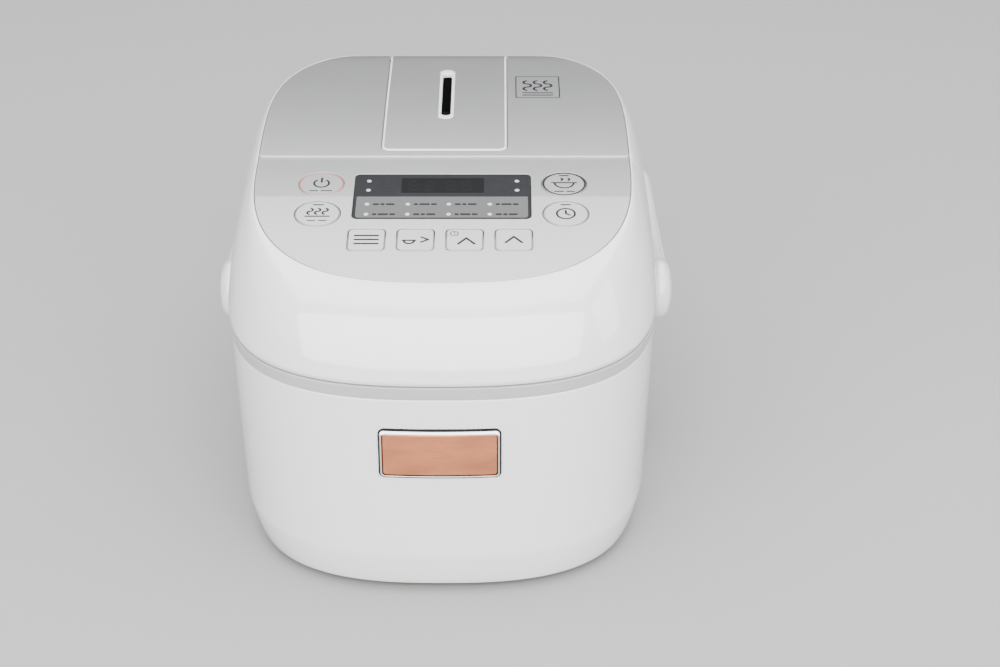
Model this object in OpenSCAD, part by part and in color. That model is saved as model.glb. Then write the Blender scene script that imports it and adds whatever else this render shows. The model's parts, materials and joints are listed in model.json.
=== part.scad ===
// Countertop rice cooker: a tapered body with a hinged lid, a folding carrying
// handle, a lift-out steam cap, eight control keys and a push-button lid latch.
// Millimetres, +Z up, the front faces -Y. Every module is drawn about the
// middle of the body; placed() then moves it so that the origin is on the
// floor, in the middle of the whole outline with the handle folded back.

/* [Body] */
// Width of the cooker at the lid seam
body_w = 234; // [232:1:236]
// Depth of the cooker at the lid seam
body_d = 294; // [292:1:298]
// Wall thickness of the body shell
shell_wall = 2.4; // [2:0.1:2.6]
// Height of the light band under the lid seam
band_h = 7.5; // [6:0.5:7.5]
// Radius of each rubber foot
foot_r = 9; // [7:0.5:10]

/* [Lid] */
// Highest point of the top cover above the floor
crown_z = 194.7; // [193:0.1:197]
// Thickness of the panel and of the top cover
cover_t = 2.6; // [2.2:0.1:2.6]
// Half-width of the silver top
top_half_w = 102.4; // [101:0.1:103]
// Distance from the middle to the panel's front edge
panel_front = 112.7; // [111:0.1:113.5]

/* [Cooking pot] */
// Outer radius of the inner pot
pot_r = 88; // [84:0.5:88]
// Wall thickness of the inner pot
pot_wall = 2.4; // [1.5:0.1:3]
// Height of the pot's floor above the feet
pot_floor_z = 34; // [34:1:38]

/* [Keys] */
// Radius of the round keys
round_key_r = 12.1; // [11:0.1:12.3]
// Width of the four small keys
small_key_w = 19.4; // [17:0.1:19.8]
// Gap between a key and its hole
key_gap = 0.4; // [0.3:0.05:0.5]

/* [Steam cap] */
// Half-width of the lift-out steam cover
cap_half_w = 34.9; // [33:0.1:35]
// Width of the steam slot
slot_w = 5.2; // [4.6:0.1:5.6]
// Length of the steam slot
slot_len = 56; // [48:1:58]

/* [Handle] */
// Radius of the handle's pivot studs
pivot_r = 6; // [5:0.1:7]
// Height of the handle's arms
arm_h = 17; // [15:0.5:18]
// Free space between the body's back and the folded handle
finger_gap = 24.2; // [24:0.2:27]

/* [Hidden] */
$fn = 64;

plan_steps = 88;
crown_steps = 22;

// Heights of the stacked main parts
seam_z = 131.4;
band_top_z = seam_z - 0.7;
body_top_z = band_top_z - band_h;
deck_z = 119.8;
deck_t = 2.6;
base_z = 5;
base_t = 2.4;

// Taper and bottom rounding of the body shell
side_taper = 3.05;
front_taper = 0.8;
fillet_z = 25.7;
fillet_h = 21.5;
fillet_inset = 5;
fillet_power = 1.2;

// Crowned top: the panel falls towards the front, the cover rises behind it
crease_y = 4.2;
crease_z = 188.3;
panel_slope = 0.0725;
panel_bend = 0.00045;
crown_y = 112;
crown_rise = 5.6;
tail_y = 145;
tail_drop = 7;
tail_power = 6.5;
groove = 0.3;
edge_power = 1.6;

// Lid hinge
hinge_y = 140;
hinge_z = 138;
barrel_r = 6.7;
barrel_half = 42;
arm_in = 22.4;
arm_out = 34;
hinge_pin_r = 2.5;
tower_back = 140.8;
running = 0.05;

// Room for the lid's rear edge as it swings down behind the hinge
notch_half = 70;
notch_front = 134;
band_notch_z = 128.6;

// Folding handle
pivot_y = 8;
pivot_z = 104;
boss_r = 17;
handle_out = 129.8;
handle_in = 119.2;
handle_corner_x = 82;
handle_corner_r = 45;
handle_t = 9.3;
handle_back = body_d / 2 + finger_gap + handle_t;

// Front latch and its button
button_z = 90;
button_half_w = 29.6;
button_h = 24.5;
bezel_half_w = 31.8;
bezel_bottom = 76.4;
bezel_top = 105.6;
bezel_front = body_d / 2;
front_bow_r = 375;
latch_y = -126;
latch_z = 108;
latch_pin_r = 1.5;

// Steam path through the lid
cap_front = 10.8;
slot_y = 79.5;
steam_y = 62;
box_half_w = 28.5;
box_front = 43;
box_back = 128;
box_floor_z = 158.6;

// Keys, window and board under the control panel
window_y = -36.2;
window_w = 95.2;
window_d = 44.6;
board_y = -49;
board_depth = 9.4;
panel_posts = [[50.5, -38.8], [55, -77]];
round_keys = [[-65.8, -24.2], [-66, -53.5], [65.8, -24.2], [66, -53.5]];
small_keys = [for (i = [-1.5 : 1 : 1.5]) [i * 25.7 - 0.3, -77.2]];
indicator_rows = [-44.3, -53.9];
indicator_columns = [for (i = [-1.5 : 1 : 1.5]) i * 21.9 - 7.3];
side_indicators = [for (x = [-40, 40.2]) for (y = [-21.2, -30.5]) [x, y]];

// Fasteners and supports
foot_spots = [for (x = [-70, 70]) for (y = [-112, 112]) [x, y]];
base_screw_spots = [for (x = [-84, 84]) for (y = [-92, 92]) [x, y]];
lid_screw_spots = [for (s = [-1, 1]) each [[84 * s, -60], [90 * s, 55], [58 * s, 122]]];

frame_shift = (handle_back - body_d / 2) / 2;

// ---- shared shapes ----

module placed() {
    translate([0, -frame_shift, 0]) children();
}

function signed_pow(value, power) = sign(value) * pow(abs(value), power);

// One point of a rounded outline with its own front and back depth
function plan_point(half_w, front, back, nx, n_front, n_back, angle) = [
    half_w * signed_pow(cos(angle), 2 / nx),
    sin(angle) < 0
        ? front * signed_pow(sin(angle), 2 / n_front)
        : back * signed_pow(sin(angle), 2 / n_back)];

function plan_outline(half_w, front, back, nx = 2.6, n_front = 4, n_back = 4) = [
    for (i = [0 : plan_steps - 1])
        plan_point(half_w, front, back, nx, n_front, n_back, 360 * i / plan_steps)];

function body_outline(inset) =
    plan_outline(body_w / 2 - inset, body_d / 2 - inset, body_d / 2 - inset);

function top_outline(inset) =
    plan_outline(top_half_w - inset, panel_front - inset, tail_y - inset, 2.9, 2.9, 4);

function panel_z(y) =
    crease_z - panel_slope * (crease_y - y) - panel_bend * pow(crease_y - y, 2);

function cover_z(y) = y < crown_y
    ? crown_z - crown_rise * pow((crown_y - y) / (crown_y - crease_y), 2)
    : crown_z - tail_drop * pow(min(1, (y - crown_y) / (tail_y - crown_y)), tail_power);

function surface_z(y) = y <= crease_y ? panel_z(y) : cover_z(y);

function panel_tilt(y) = atan(panel_slope + 2 * panel_bend * (crease_y - y));

// Closed tube of stacked outlines: up the outside and down the inside
module loft_loop(rings) {
    count = len(rings);
    corners = [for (ring = rings) each ring];
    triangles = [
        for (k = [0 : count - 1])
            for (i = [0 : plan_steps - 1])
                let (
                    j = (i + 1) % plan_steps,
                    low = k * plan_steps,
                    high = ((k + 1) % count) * plan_steps)
                each [[low + i, high + i, high + j], [low + i, high + j, low + j]]];
    polyhedron(corners, triangles);
}

// Solid prism of an outline between two heights
module prism(outline, low, high) {
    translate([0, 0, low]) linear_extrude(high - low) polygon(outline);
}

// Profile in the YZ plane, extruded from one X to another
module side_extrude(from_x, to_x) {
    translate([from_x, 0, 0])
        rotate([90, 0, 90])
            linear_extrude(to_x - from_x) children();
}

// Slab that follows the crowned top between two depths below it
module crown_slab(from_y, to_y, upper, lower, half_w) {
    stations = [for (i = [0 : crown_steps]) from_y + (to_y - from_y) * i / crown_steps];
    side_extrude(-half_w, half_w)
        polygon(concat(
            [for (y = stations) [y, surface_z(y) - upper]],
            [for (i = [crown_steps : -1 : 0]) [stations[i], surface_z(stations[i]) - lower]]));
}

module rounded_rect(w, d, r) {
    square([w - 2 * r, d], center = true);
    square([w, d - 2 * r], center = true);
    for (x = [-1, 1])
        for (y = [-1, 1])
            translate([x * (w / 2 - r), y * (d / 2 - r)]) circle(r);
}

module x_cylinder(r, from_x, to_x, y, z) {
    translate([from_x, y, z]) rotate([0, 90, 0]) cylinder(r = r, h = to_x - from_x);
}

module block(low, high) {
    translate(low) cube(high - low);
}

module tube(outer, inner, low, high) {
    translate([0, 0, low])
        difference() {
            cylinder(r = outer, h = high - low);
            translate([0, 0, -1]) cylinder(r = inner, h = high - low + 2);
        }
}

// Local frame that lies on the panel's surface at a point
module on_panel(spot) {
    translate([spot[0], spot[1], panel_z(spot[1])])
        rotate([panel_tilt(spot[1]), 0, 0]) children();
}

// ---- body ----

function shell_ring(z, inset) = let (
    fall = (body_top_z - max(z, fillet_z)) / (body_top_z - fillet_z),
    drop = min(1, max(0, fillet_z - z) / fillet_h),
    tuck = fillet_inset * (1 - pow(1 - pow(drop, fillet_power), 1 / fillet_power)),
    half_w = body_w / 2 - 1 - side_taper * fall - tuck - inset,
    half_d = body_d / 2 - 0.7 - front_taper * fall - tuck - inset)
    [for (p = plan_outline(half_w, half_d, half_d)) [p[0], p[1], z]];

module body_shell() {
    heights = [fillet_z - fillet_h, 6, 9, 13, 18, fillet_z, 60, body_top_z];
    last = len(heights) - 1;
    color("white") placed() difference() {
        loft_loop(concat(
            [for (i = [0 : last]) shell_ring(heights[i], 0)],
            [for (i = [last : -1 : 0]) shell_ring(heights[i], shell_wall)]));
        block([-32, -160, 76.2], [32, -130, 105.8]);
        x_cylinder(pivot_r + 0.1, -130, 130, pivot_y, pivot_z);
        side_extrude(100, 130) translate([20, 34]) rounded_rect(36.6, 44.6, 4.3);
    }
}

module upper_frame() {
    color("gainsboro") placed() {
        difference() {
            union() {
                prism(body_outline(0.9), body_top_z + 0.1, band_top_z);
                prism(body_outline(3.9), 114, band_top_z);
            }
            prism(body_outline(5.2), 100, 140);
            block([-notch_half, notch_front, band_notch_z], [notch_half, 160, 140]);
        }
        difference() {
            prism(body_outline(5), deck_z, deck_z + deck_t);
            translate([0, 0, 100]) cylinder(r = pot_r + 3.5, h = 40);
            block([-7, -132.5, 100], [7, -120, 140]);
        }
        for (spot = base_screw_spots)
            translate([spot[0], spot[1], base_z + base_t])
                difference() {
                    cylinder(r = 5, h = deck_z - base_z - base_t);
                    translate([0, 0, -1]) cylinder(r = 1.5, h = 13);
                }
        hinge_tower();
    }
}

// Hinge tower behind the pot: three barrels with a slot for each lid arm
module hinge_tower() {
    difference() {
        intersection() {
            union() {
                block([-barrel_half, 133.5, deck_z + 1], [barrel_half, tower_back, hinge_z]);
                block(
                    [-barrel_half, 133.5, body_top_z + 0.1],
                    [barrel_half, body_d / 2, band_notch_z]);
                x_cylinder(barrel_r, -barrel_half, barrel_half, hinge_y, hinge_z);
            }
            prism(body_outline(0), deck_z, hinge_z + barrel_r + 1);
        }
        for (s = [-1, 1])
            block(
                [s > 0 ? arm_in - 0.3 : -arm_out - 0.3, 120, 128],
                [s > 0 ? arm_out + 0.3 : -arm_in + 0.3, 160, 150]);
        x_cylinder(hinge_pin_r, -50, 50, hinge_y, hinge_z);
        x_cylinder(5.3, -17, 17, hinge_y, hinge_z);
    }
}

module base_cover() {
    color("dimgray") placed() {
        difference() {
            prism(plan_outline(105.4, 137.9, 137.9), base_z, base_z + base_t);
            for (spot = concat(foot_spots, base_screw_spots))
                translate([spot[0], spot[1], 0]) cylinder(r = 3.1, h = 20);
            for (i = [-4 : 4])
                block([i * 9 - 1.5, -18, 0], [i * 9 + 1.5, 18, 20]);
        }
        for (s = [-1, 1])
            block([45.5 * s - 1.5, 112, base_z + base_t - 0.1], [45.5 * s + 1.5, 126, 27.9]);
    }
}

module feet() {
    color("black") placed() for (spot = foot_spots)
        translate([spot[0], spot[1], 0]) {
            cylinder(r = foot_r, h = base_z);
            cylinder(r = 3, h = base_z + 4);
        }
}

module base_screws() {
    color("silver") placed() for (spot = base_screw_spots)
        translate([spot[0], spot[1], base_z]) {
            cylinder(r = 3, h = base_t - 0.1);
            cylinder(r = 1.4, h = 11);
        }
}

// ---- pot and heating ----

module pot_housing() {
    top = deck_z - 0.1;
    color("lightgray") placed() rotate_extrude($fn = 96) polygon([
        [70, 29], [pot_r + 2.8, 29], [pot_r + 2.8, top - 0.8], [pot_r + 7, top - 0.8],
        [pot_r + 7, top], [pot_r + 2, top], [pot_r + 2, 29.8], [70, 29.8]]);
}

module inner_pot() {
    bend = 20;
    inner = pot_r - pot_wall;
    floor_z = pot_floor_z + pot_wall + 0.6;
    rim_z = deck_z + deck_t + 0.1;
    color("dimgray") placed() rotate_extrude($fn = 96) polygon(concat(
        [[0, pot_floor_z]],
        [for (a = [0 : 15 : 90])
            [pot_r - bend + bend * sin(a), pot_floor_z + bend - bend * cos(a)]],
        [[pot_r, rim_z], [pot_r + 6, rim_z], [pot_r + 6, rim_z + 2], [inner, rim_z + 2]],
        [for (a = [90 : -15 : 0])
            [inner - bend + bend * sin(a), floor_z + bend - bend * cos(a)]],
        [[0, floor_z]]));
}

module heater_plate() {
    color("silver") placed() difference() {
        translate([0, 0, 26]) cylinder(r = 68, h = pot_floor_z - 26);
        cylinder(r = 15.2, h = 60);
    }
}

module heater_element() {
    color("dimgray") placed() translate([0, 0, 22.1])
        rotate_extrude() translate([48, 0]) circle(3.8, $fn = 24);
}

module band_heater() {
    color("goldenrod") placed() tube(pot_r + 4.4, pot_r + 2.9, 62, 84);
}

module sensor_bracket() {
    color("silver") placed() difference() {
        union() {
            block([-34, -9, 14], [34, 9, 16]);
            for (s = [-1, 1])
                block([32.5 * s - 1.5, -9, 14], [32.5 * s + 1.5, 9, 25.9]);
        }
        cylinder(r = 5.1, h = 60);
    }
}

module sensor_spring() {
    color("silver") placed() tube(7.6, 6.4, 16.1, 28.9);
}

module sensor_cup() {
    color("silver") placed() {
        translate([0, 0, 29]) cylinder(r = 14.6, h = pot_floor_z - 29.3);
        translate([0, 0, 10.2]) cylinder(r = 5, h = 20);
    }
}

module power_board() {
    color("darkgreen") placed() block([-50, 118, 28], [50, 119.6, 98]);
}

module power_parts() {
    board_back = 119.6;
    color("dimgray") placed() {
        block([-44, board_back, 34], [-12, board_back + 18, 62]);
        block([2, board_back, 36], [22, board_back + 14, 54]);
        block([28, board_back, 60], [44, board_back + 12, 76]);
        for (i = [0 : 2])
            translate([-38 + 14 * i, board_back, 78]) rotate([-90, 0, 0])
                cylinder(r = 5, h = 16);
    }
}

module inlet_housing() {
    color("white") placed() difference() {
        side_extrude(97, 117.6) translate([20, 34]) rounded_rect(36, 44, 4);
        side_extrude(100, 120) translate([20, 34]) rounded_rect(25, 29, 3);
    }
}

module inlet_pins() {
    color("silver") placed() for (z = [27.5, 40.5])
        x_cylinder(2.3, 100, 110, 20, z);
}

// ---- lid release ----

// Ring-shaped wall between two radii about the bowed front's centre
module front_bow(front_y, thickness) {
    difference() {
        translate([0, -front_y + front_bow_r, 60])
            cylinder(r = front_bow_r, h = 60, $fn = 180);
        translate([0, -front_y + front_bow_r, 59])
            cylinder(r = front_bow_r - thickness, h = 62, $fn = 180);
    }
}

module button_bezel() {
    color("silver") placed() intersection() {
        front_bow(bezel_front, 3.6);
        difference() {
            block([-bezel_half_w, -150, bezel_bottom], [bezel_half_w, -130, bezel_top]);
            block([-30, -160, 77.3], [30, -120, 102.5]);
        }
    }
}

module button_housing() {
    color("white") placed() difference() {
        block([-bezel_half_w, -142, bezel_bottom], [bezel_half_w, -133, bezel_top]);
        block([-30.2, -150, 77.2], [30.2, -134.5, 102.8]);
        block([-6.6, -150, 85.4], [6.6, -120, 94.6]);
    }
}

module button_springs() {
    color("silver") placed() for (x = [-20, 20])
        translate([x, -134.6, button_z]) rotate([90, 0, 0])
            tube(3.6, 2.7, 0, 8.1);
}

module open_button() {
    plate_back = bezel_front - 3.6;
    color("peru") placed() {
        intersection() {
            front_bow(bezel_front - 0.5, 3);
            block(
                [-button_half_w, -160, button_z - button_h / 2],
                [button_half_w, -130, button_z + button_h / 2]);
        }
        block([-6, -plate_back - 0.4, button_z - 4], [6, -131.5, button_z + 4]);
        block([-4, -132, button_z - 1.5], [4, -128.6, button_z + 1.5]);
    }
}

module latch_bracket() {
    color("silver") placed() difference() {
        union() {
            for (s = [-1, 1])
                block([8.3 * s - 0.8, -132, 100], [8.3 * s + 0.8, -118, deck_z - 0.1]);
            block([-9.1, -119.4, 100], [9.1, -118, deck_z - 0.1]);
        }
        x_cylinder(latch_pin_r, -20, 20, latch_y, latch_z);
    }
}

module latch_pin() {
    color("silver") placed() x_cylinder(latch_pin_r, -10, 10, latch_y, latch_z);
}

module latch_hook() {
    color("silver") placed() difference() {
        side_extrude(-5, 5) union() {
            polygon([
                [-128, 86], [-124.4, 86], [-124.4, 125.8], [-122.3, 125.9],
                [-122.3, 126.6], [-124.2, 127.5], [-128, 127.5]]);
            translate([latch_y, latch_z]) circle(4);
        }
        x_cylinder(latch_pin_r + running, -20, 20, latch_y, latch_z);
    }
}

// ---- hinge and handle ----

module hinge_pin() {
    color("silver") placed()
        x_cylinder(hinge_pin_r, -barrel_half + 0.5, barrel_half - 0.5, hinge_y, hinge_z);
}

module hinge_springs() {
    color("silver") placed() for (i = [-6 : 6])
        translate([i * 2.4, hinge_y, hinge_z]) rotate([0, 90, 0])
            rotate_extrude() translate([4.1, 0]) circle(0.9, $fn = 16);
}

module handle_pivots() {
    color("gainsboro") placed() for (s = [0, 1])
        mirror([s, 0, 0]) {
            x_cylinder(pivot_r, 110, 126.9, pivot_y, pivot_z);
            x_cylinder(12.5, 116.1, handle_in - 0.3, pivot_y, pivot_z);
            x_cylinder(10, 109.6, 112.6, pivot_y, pivot_z);
        }
}

// Half of the folded handle seen from above
function handle_half_plan() = let (
    corner_y = handle_back - handle_corner_r,
    inner_r = handle_corner_r - handle_t)
    concat(
        [[0, handle_back]],
        [for (a = [90 : -10 : 0])
            [handle_corner_x + handle_corner_r * cos(a), corner_y + handle_corner_r * sin(a)]],
        [[handle_out, pivot_y], [handle_in, pivot_y]],
        [for (a = [0 : 10 : 90])
            [handle_corner_x + inner_r * cos(a), corner_y + inner_r * sin(a)]],
        [[0, handle_back - handle_t]]);

module handle() {
    arm_top = pivot_z + arm_h / 2;
    arm_bottom = pivot_z - arm_h / 2;
    color("white") placed() for (s = [0, 1])
        mirror([s, 0, 0]) difference() {
            union() {
                intersection() {
                    prism(handle_half_plan(), pivot_z - 30, pivot_z + 30);
                    side_extrude(-1, 140) polygon([
                        [0, pivot_z - boss_r], [pivot_y, pivot_z - boss_r],
                        [35, pivot_z - 13], [62, arm_bottom - 0.8], [85, arm_bottom],
                        [200, arm_bottom], [200, arm_top], [85, arm_top],
                        [62, arm_top + 0.8], [35, pivot_z + 13],
                        [pivot_y, pivot_z + boss_r], [0, pivot_z + boss_r]]);
                }
                x_cylinder(boss_r, handle_in, handle_out, pivot_y, pivot_z);
            }
            x_cylinder(pivot_r + running, 100, 127.3, pivot_y, pivot_z);
        }
}

// ---- lid ----

// Outer surface of the lid: v runs from 0 at the seam to 1 at the top groove
function lid_ring(v, inset, sink) = let (
    swell = pow(1 - pow(v, edge_power), 1 / edge_power),
    half_w = top_half_w + groove + (body_w / 2 - top_half_w - groove) * swell - inset,
    front = panel_front + groove + (body_d / 2 - panel_front - groove) * swell - inset,
    back = tail_y + groove + (body_d / 2 - tail_y - groove) * swell - inset,
    nx = 2.6 + 0.3 * v,
    n_front = 4 - 1.1 * v,
    edge = top_outline(0))
    [for (i = [0 : plan_steps - 1])
        let (
            p = plan_point(half_w, front, back, nx, n_front, 4, 360 * i / plan_steps),
            z = seam_z * (1 - v) + surface_z(min(edge[i][1], tail_y)) * v)
        [p[0], p[1], z - sink]];

module lid_shell() {
    outer = [0, 0.12, 0.26, 0.42, 0.58, 0.72, 0.84, 0.93, 0.98, 1];
    inner = [0.8, 0.55, 0.28, 0];
    color("white") placed() difference() {
        loft_loop(concat(
            [for (v = outer) lid_ring(v, 0, 0)],
            [lid_ring(1, 0, cover_t + 0.2)],
            [lid_ring(1, 4.5, cover_t + 0.2)],
            [lid_ring(1, 4.5, cover_t + 2.2)],
            [for (v = inner) lid_ring(v, 2.6, v > 0 ? 1.2 : 0)]));
        x_cylinder(barrel_r + 0.4, -42.6, 42.6, hinge_y, hinge_z);
        block([-42.6, 130, 120], [42.6, 160, hinge_z]);
        block([-notch_half, notch_front, 120], [notch_half, 160, seam_z + 1.4]);
    }
}

module top_cover() {
    color("silver") placed() difference() {
        intersection() {
            crown_slab(crease_y + 0.1, tail_y + 1, 0, cover_t, 110);
            prism(top_outline(0), 150, 210);
        }
        block([-cap_half_w - 0.4, cap_front - 0.4, 150], [cap_half_w + 0.4, 160, 210]);
    }
}

module key_hole(spot) {
    on_panel(spot) translate([0, 0, -8]) linear_extrude(16) children();
}

module control_panel() {
    color("lightgray") placed() {
        difference() {
            intersection() {
                crown_slab(-panel_front - 1, crease_y, 0, cover_t, 110);
                prism(top_outline(0), 150, 210);
            }
            for (spot = round_keys) key_hole(spot) circle(round_key_r + key_gap);
            for (spot = small_keys)
                key_hole(spot)
                    rounded_rect(small_key_w + 2 * key_gap, small_key_w + 2 * key_gap, 3.4);
            on_panel([0, window_y]) {
                translate([0, 0, -8]) linear_extrude(16) rounded_rect(90, 40, 2);
                translate([0, 0, -1.75]) linear_extrude(8)
                    rounded_rect(window_w + 0.4, window_d + 0.4, 3.2);
            }
        }
        for (s = [-1, 1])
            for (spot = panel_posts)
                on_panel([s * spot[0], spot[1]])
                    translate([0, 0, -board_depth + 1.3]) cylinder(r = 2.1, h = board_depth - 3);
    }
}

module display_window() {
    color([0.2, 0.2, 0.22]) placed() on_panel([0, window_y])
        translate([0, 0, -1.7]) linear_extrude(1.6) rounded_rect(window_w, window_d, 3);
}

// Local frame on the face of the control board
module on_board() {
    on_panel([0, board_y]) translate([0, 0, -board_depth]) children();
}

module lcd_module() {
    color("slategray") placed() on_board() translate([0, 23.2, 0])
        linear_extrude(5.6) rounded_rect(47, 17.6, 1);
}

module led_guides() {
    color("white") placed() on_board() {
        for (x = indicator_columns)
            for (y = indicator_rows)
                translate([x, y - board_y, 0]) cylinder(r = 1.5, h = 6);
        for (spot = side_indicators)
            translate([spot[0], spot[1] - board_y, 0]) cylinder(r = 1.5, h = 6);
    }
}

module control_board() {
    color("darkgreen") placed() on_board() translate([0, 0, -1.6])
        linear_extrude(1.6) square([148, 76], center = true);
}

module tact_switches() {
    color("black") placed() on_board() for (spot = concat(round_keys, small_keys))
        translate([spot[0], spot[1] - board_y, 0]) {
            linear_extrude(1.8) square(6, center = true);
            cylinder(r = 1.7, h = 2.7);
        }
}

// Moulded inner frame of the lid, with the two hinge arms at its back
module lid_base() {
    color("whitesmoke") placed() difference() {
        union() {
            difference() {
                union() {
                    prism(body_outline(8.5), 129.4, 131.9);
                    prism(body_outline(3.2), 131.8, 133.8);
                }
                block([-44.5, 131.5, 100], [44.5, 160, 150]);
            }
            tube(pot_r + 8, pot_r + 5.4, 125.8, 129.5);
            for (spot = lid_screw_spots)
                translate([spot[0], spot[1], 133.7])
                    cylinder(r = 4, h = surface_z(spot[1]) - cover_t - 0.9 - 133.7);
            for (s = [0, 1])
                mirror([s, 0, 0]) side_extrude(arm_in, arm_out) union() {
                    polygon([
                        [116, 132], [133, 132], [hinge_y, hinge_z - barrel_r],
                        [hinge_y, hinge_z + barrel_r], [130, 141], [116, 137]]);
                    translate([hinge_y, hinge_z]) circle(barrel_r);
                }
        }
        translate([0, steam_y, 100]) cylinder(r = 7.6, h = 60);
        for (spot = lid_screw_spots)
            translate([spot[0], spot[1], 120]) cylinder(r = 1.5, h = 25);
        x_cylinder(hinge_pin_r + running, -60, 60, hinge_y, hinge_z);
        block([-60, body_d / 2 - 0.3, 120], [60, 160, 150]);
    }
}

module lid_screws() {
    color("silver") placed() for (spot = lid_screw_spots)
        translate([spot[0], spot[1], 128.2]) {
            cylinder(r = 3, h = 1.1);
            cylinder(r = 1.4, h = 15);
        }
}

module lid_catch() {
    color("silver") placed() side_extrude(-9, 9) polygon([
        [-119.5, 129.3], [-119.5, 125.4], [-121.5, 125.4], [-121.5, 123.7],
        [-117.5, 123.7], [-117.5, 127.8], [-113, 127.8], [-113, 129.3]]);
}

module lid_heater() {
    color("silver") placed() difference() {
        tube(84, 30, 127.8, 128.8);
        translate([0, steam_y, 100]) cylinder(r = 11, h = 60);
    }
}

module inner_lid() {
    color("silver") placed() difference() {
        translate([0, 0, 126.2]) cylinder(r = pot_r + 4.6, h = 1.2);
        translate([0, steam_y, 100]) for (a = [0 : 72 : 288])
            rotate(a) translate([5, 0, 0]) cylinder(r = 1.8, h = 60);
        translate([0, steam_y, 100]) cylinder(r = 1.8, h = 60);
    }
}

module lid_gasket() {
    color("white") placed() rotate_extrude($fn = 96) polygon([
        [pot_r - 2, 126.1], [pot_r + 4.8, 126.1], [pot_r + 4.8, 124.9], [pot_r + 3.4, 124.8],
        [pot_r + 2, 125.4], [pot_r, 125.4], [pot_r - 1.6, 124.9]]);
}

// Sealed tray under the steam cover that holds the steam box
module steam_well() {
    color("whitesmoke") placed() difference() {
        union() {
            intersection() {
                union() {
                    crown_slab(cap_front - 2.3, tail_y, 4.2, 6, 38);
                    for (s = [0, 1])
                        mirror([s, 0, 0]) intersection() {
                            crown_slab(cap_front - 2.3, tail_y, cover_t + 0.1, 4.3, 38);
                            block([cap_half_w + 0.8, 0, 100], [38, 160, 210]);
                        }
                }
                prism(top_outline(5), 150, 210);
            }
            intersection() {
                block([-box_half_w - 2.6, box_front - 2.6, 156], [box_half_w + 2.6, box_back + 2.6, 200]);
                crown_slab(40, tail_y, 4.3, 60, 38);
            }
        }
        block([-box_half_w - 1, box_front - 1, 157.6], [box_half_w + 1, box_back + 1, 220]);
        translate([0, steam_y, 150]) cylinder(r = 8, h = 20);
    }
}

module steam_duct() {
    color("white") placed() translate([0, steam_y, 0]) tube(9.4, 7.6, 133.9, 155.9);
}

// ---- lift-out steam cap ----

module steam_cover() {
    plan_back = tail_y + 1;
    color("silver") placed() difference() {
        intersection() {
            crown_slab(cap_front - 0.3, plan_back, 0, 3, 60);
            translate([0, (cap_front + plan_back + 10) / 2, 150]) linear_extrude(60)
                rounded_rect(2 * cap_half_w, plan_back + 10 - cap_front, 4.5);
            prism(top_outline(0.3), 150, 210);
        }
        translate([0, slot_y, 150]) linear_extrude(60)
            rounded_rect(slot_w + 4.2, slot_len + 10.2, 4.6);
    }
}

module slot_trim() {
    color("gainsboro") placed() difference() {
        intersection() {
            crown_slab(40, 130, 0.2, 3, 20);
            translate([0, slot_y, 150]) linear_extrude(60)
                rounded_rect(slot_w + 4, slot_len + 10, 4.5);
        }
        translate([0, slot_y, 150]) linear_extrude(60)
            rounded_rect(slot_w, slot_len, slot_w / 2 - 0.01);
    }
}

module steam_box() {
    color("dimgray") placed() difference() {
        intersection() {
            block([-box_half_w, box_front, box_floor_z], [box_half_w, box_back, 200]);
            union() {
                crown_slab(40, 132, 3.1, 20, 40);
                block([-40, 40, 150], [40, 132, 180]);
            }
        }
        difference() {
            block(
                [-box_half_w + 1.5, box_front + 1.5, box_floor_z + 1.5],
                [box_half_w - 1.5, box_back - 1.5, 220]);
            translate([0, steam_y, 150]) cylinder(r = 8, h = 22);
        }
        translate([0, steam_y, 150]) cylinder(r = 6.4, h = 40);
    }
}

module steam_seal() {
    color("white") placed() translate([0, steam_y, 0]) tube(11.6, 9.2, 157.95, box_floor_z);
}

// ---- keys ----

// A key cap with a retaining lip under the panel and a stem for its switch
module key(spot) {
    color("lightgray") placed() on_panel(spot) {
        translate([0, 0, -3.2]) linear_extrude(3.2) children(0);
        translate([0, 0, -3.8]) linear_extrude(0.8) children(1);
        translate([0, 0, -5.6]) cylinder(r = 1.8, h = 2.4);
    }
}

module round_key(index) {
    key(round_keys[index]) {
        circle(round_key_r);
        circle(round_key_r + 1.5);
    }
}

module small_key(index) {
    key(small_keys[index]) {
        rounded_rect(small_key_w, small_key_w, 3);
        rounded_rect(small_key_w + 3, small_key_w + 1, 3);
    }
}

module key_cancel() { round_key(0); }
module key_keep_warm() { round_key(1); }
module key_cook() { round_key(2); }
module key_timer() { round_key(3); }
module key_menu() { small_key(0); }
module key_course() { small_key(1); }
module key_hour() { small_key(2); }
module key_minute() { small_key(3); }

// ---- assembly ----

body_shell();
upper_frame();
base_cover();
feet();
base_screws();
pot_housing();
inner_pot();
heater_plate();
heater_element();
band_heater();
sensor_bracket();
sensor_spring();
sensor_cup();
power_board();
power_parts();
inlet_housing();
inlet_pins();
button_bezel();
button_housing();
button_springs();
open_button();
latch_bracket();
latch_pin();
latch_hook();
hinge_pin();
hinge_springs();
handle_pivots();
handle();
lid_shell();
top_cover();
control_panel();
display_window();
lcd_module();
led_guides();
control_board();
tact_switches();
lid_base();
lid_screws();
lid_catch();
lid_heater();
inner_lid();
lid_gasket();
steam_well();
steam_duct();
steam_cover();
slot_trim();
steam_box();
steam_seal();
key_cancel();
key_keep_warm();
key_cook();
key_timer();
key_menu();
key_course();
key_hour();
key_minute();
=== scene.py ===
"""Looks of the rice cooker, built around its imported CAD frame.

Shapes are written in millimetres about the middle of the body; build() turns them
into metres in the CAD frame. plate() makes a thin solid of any outline, with holes and
rounded edges, on a curved surface, and every corner gets the exact normal of that surface.
"""

import json
import math

import bpy
import numpy as np
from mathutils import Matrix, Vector
from mathutils.geometry import delaunay_2d_cdt


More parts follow.
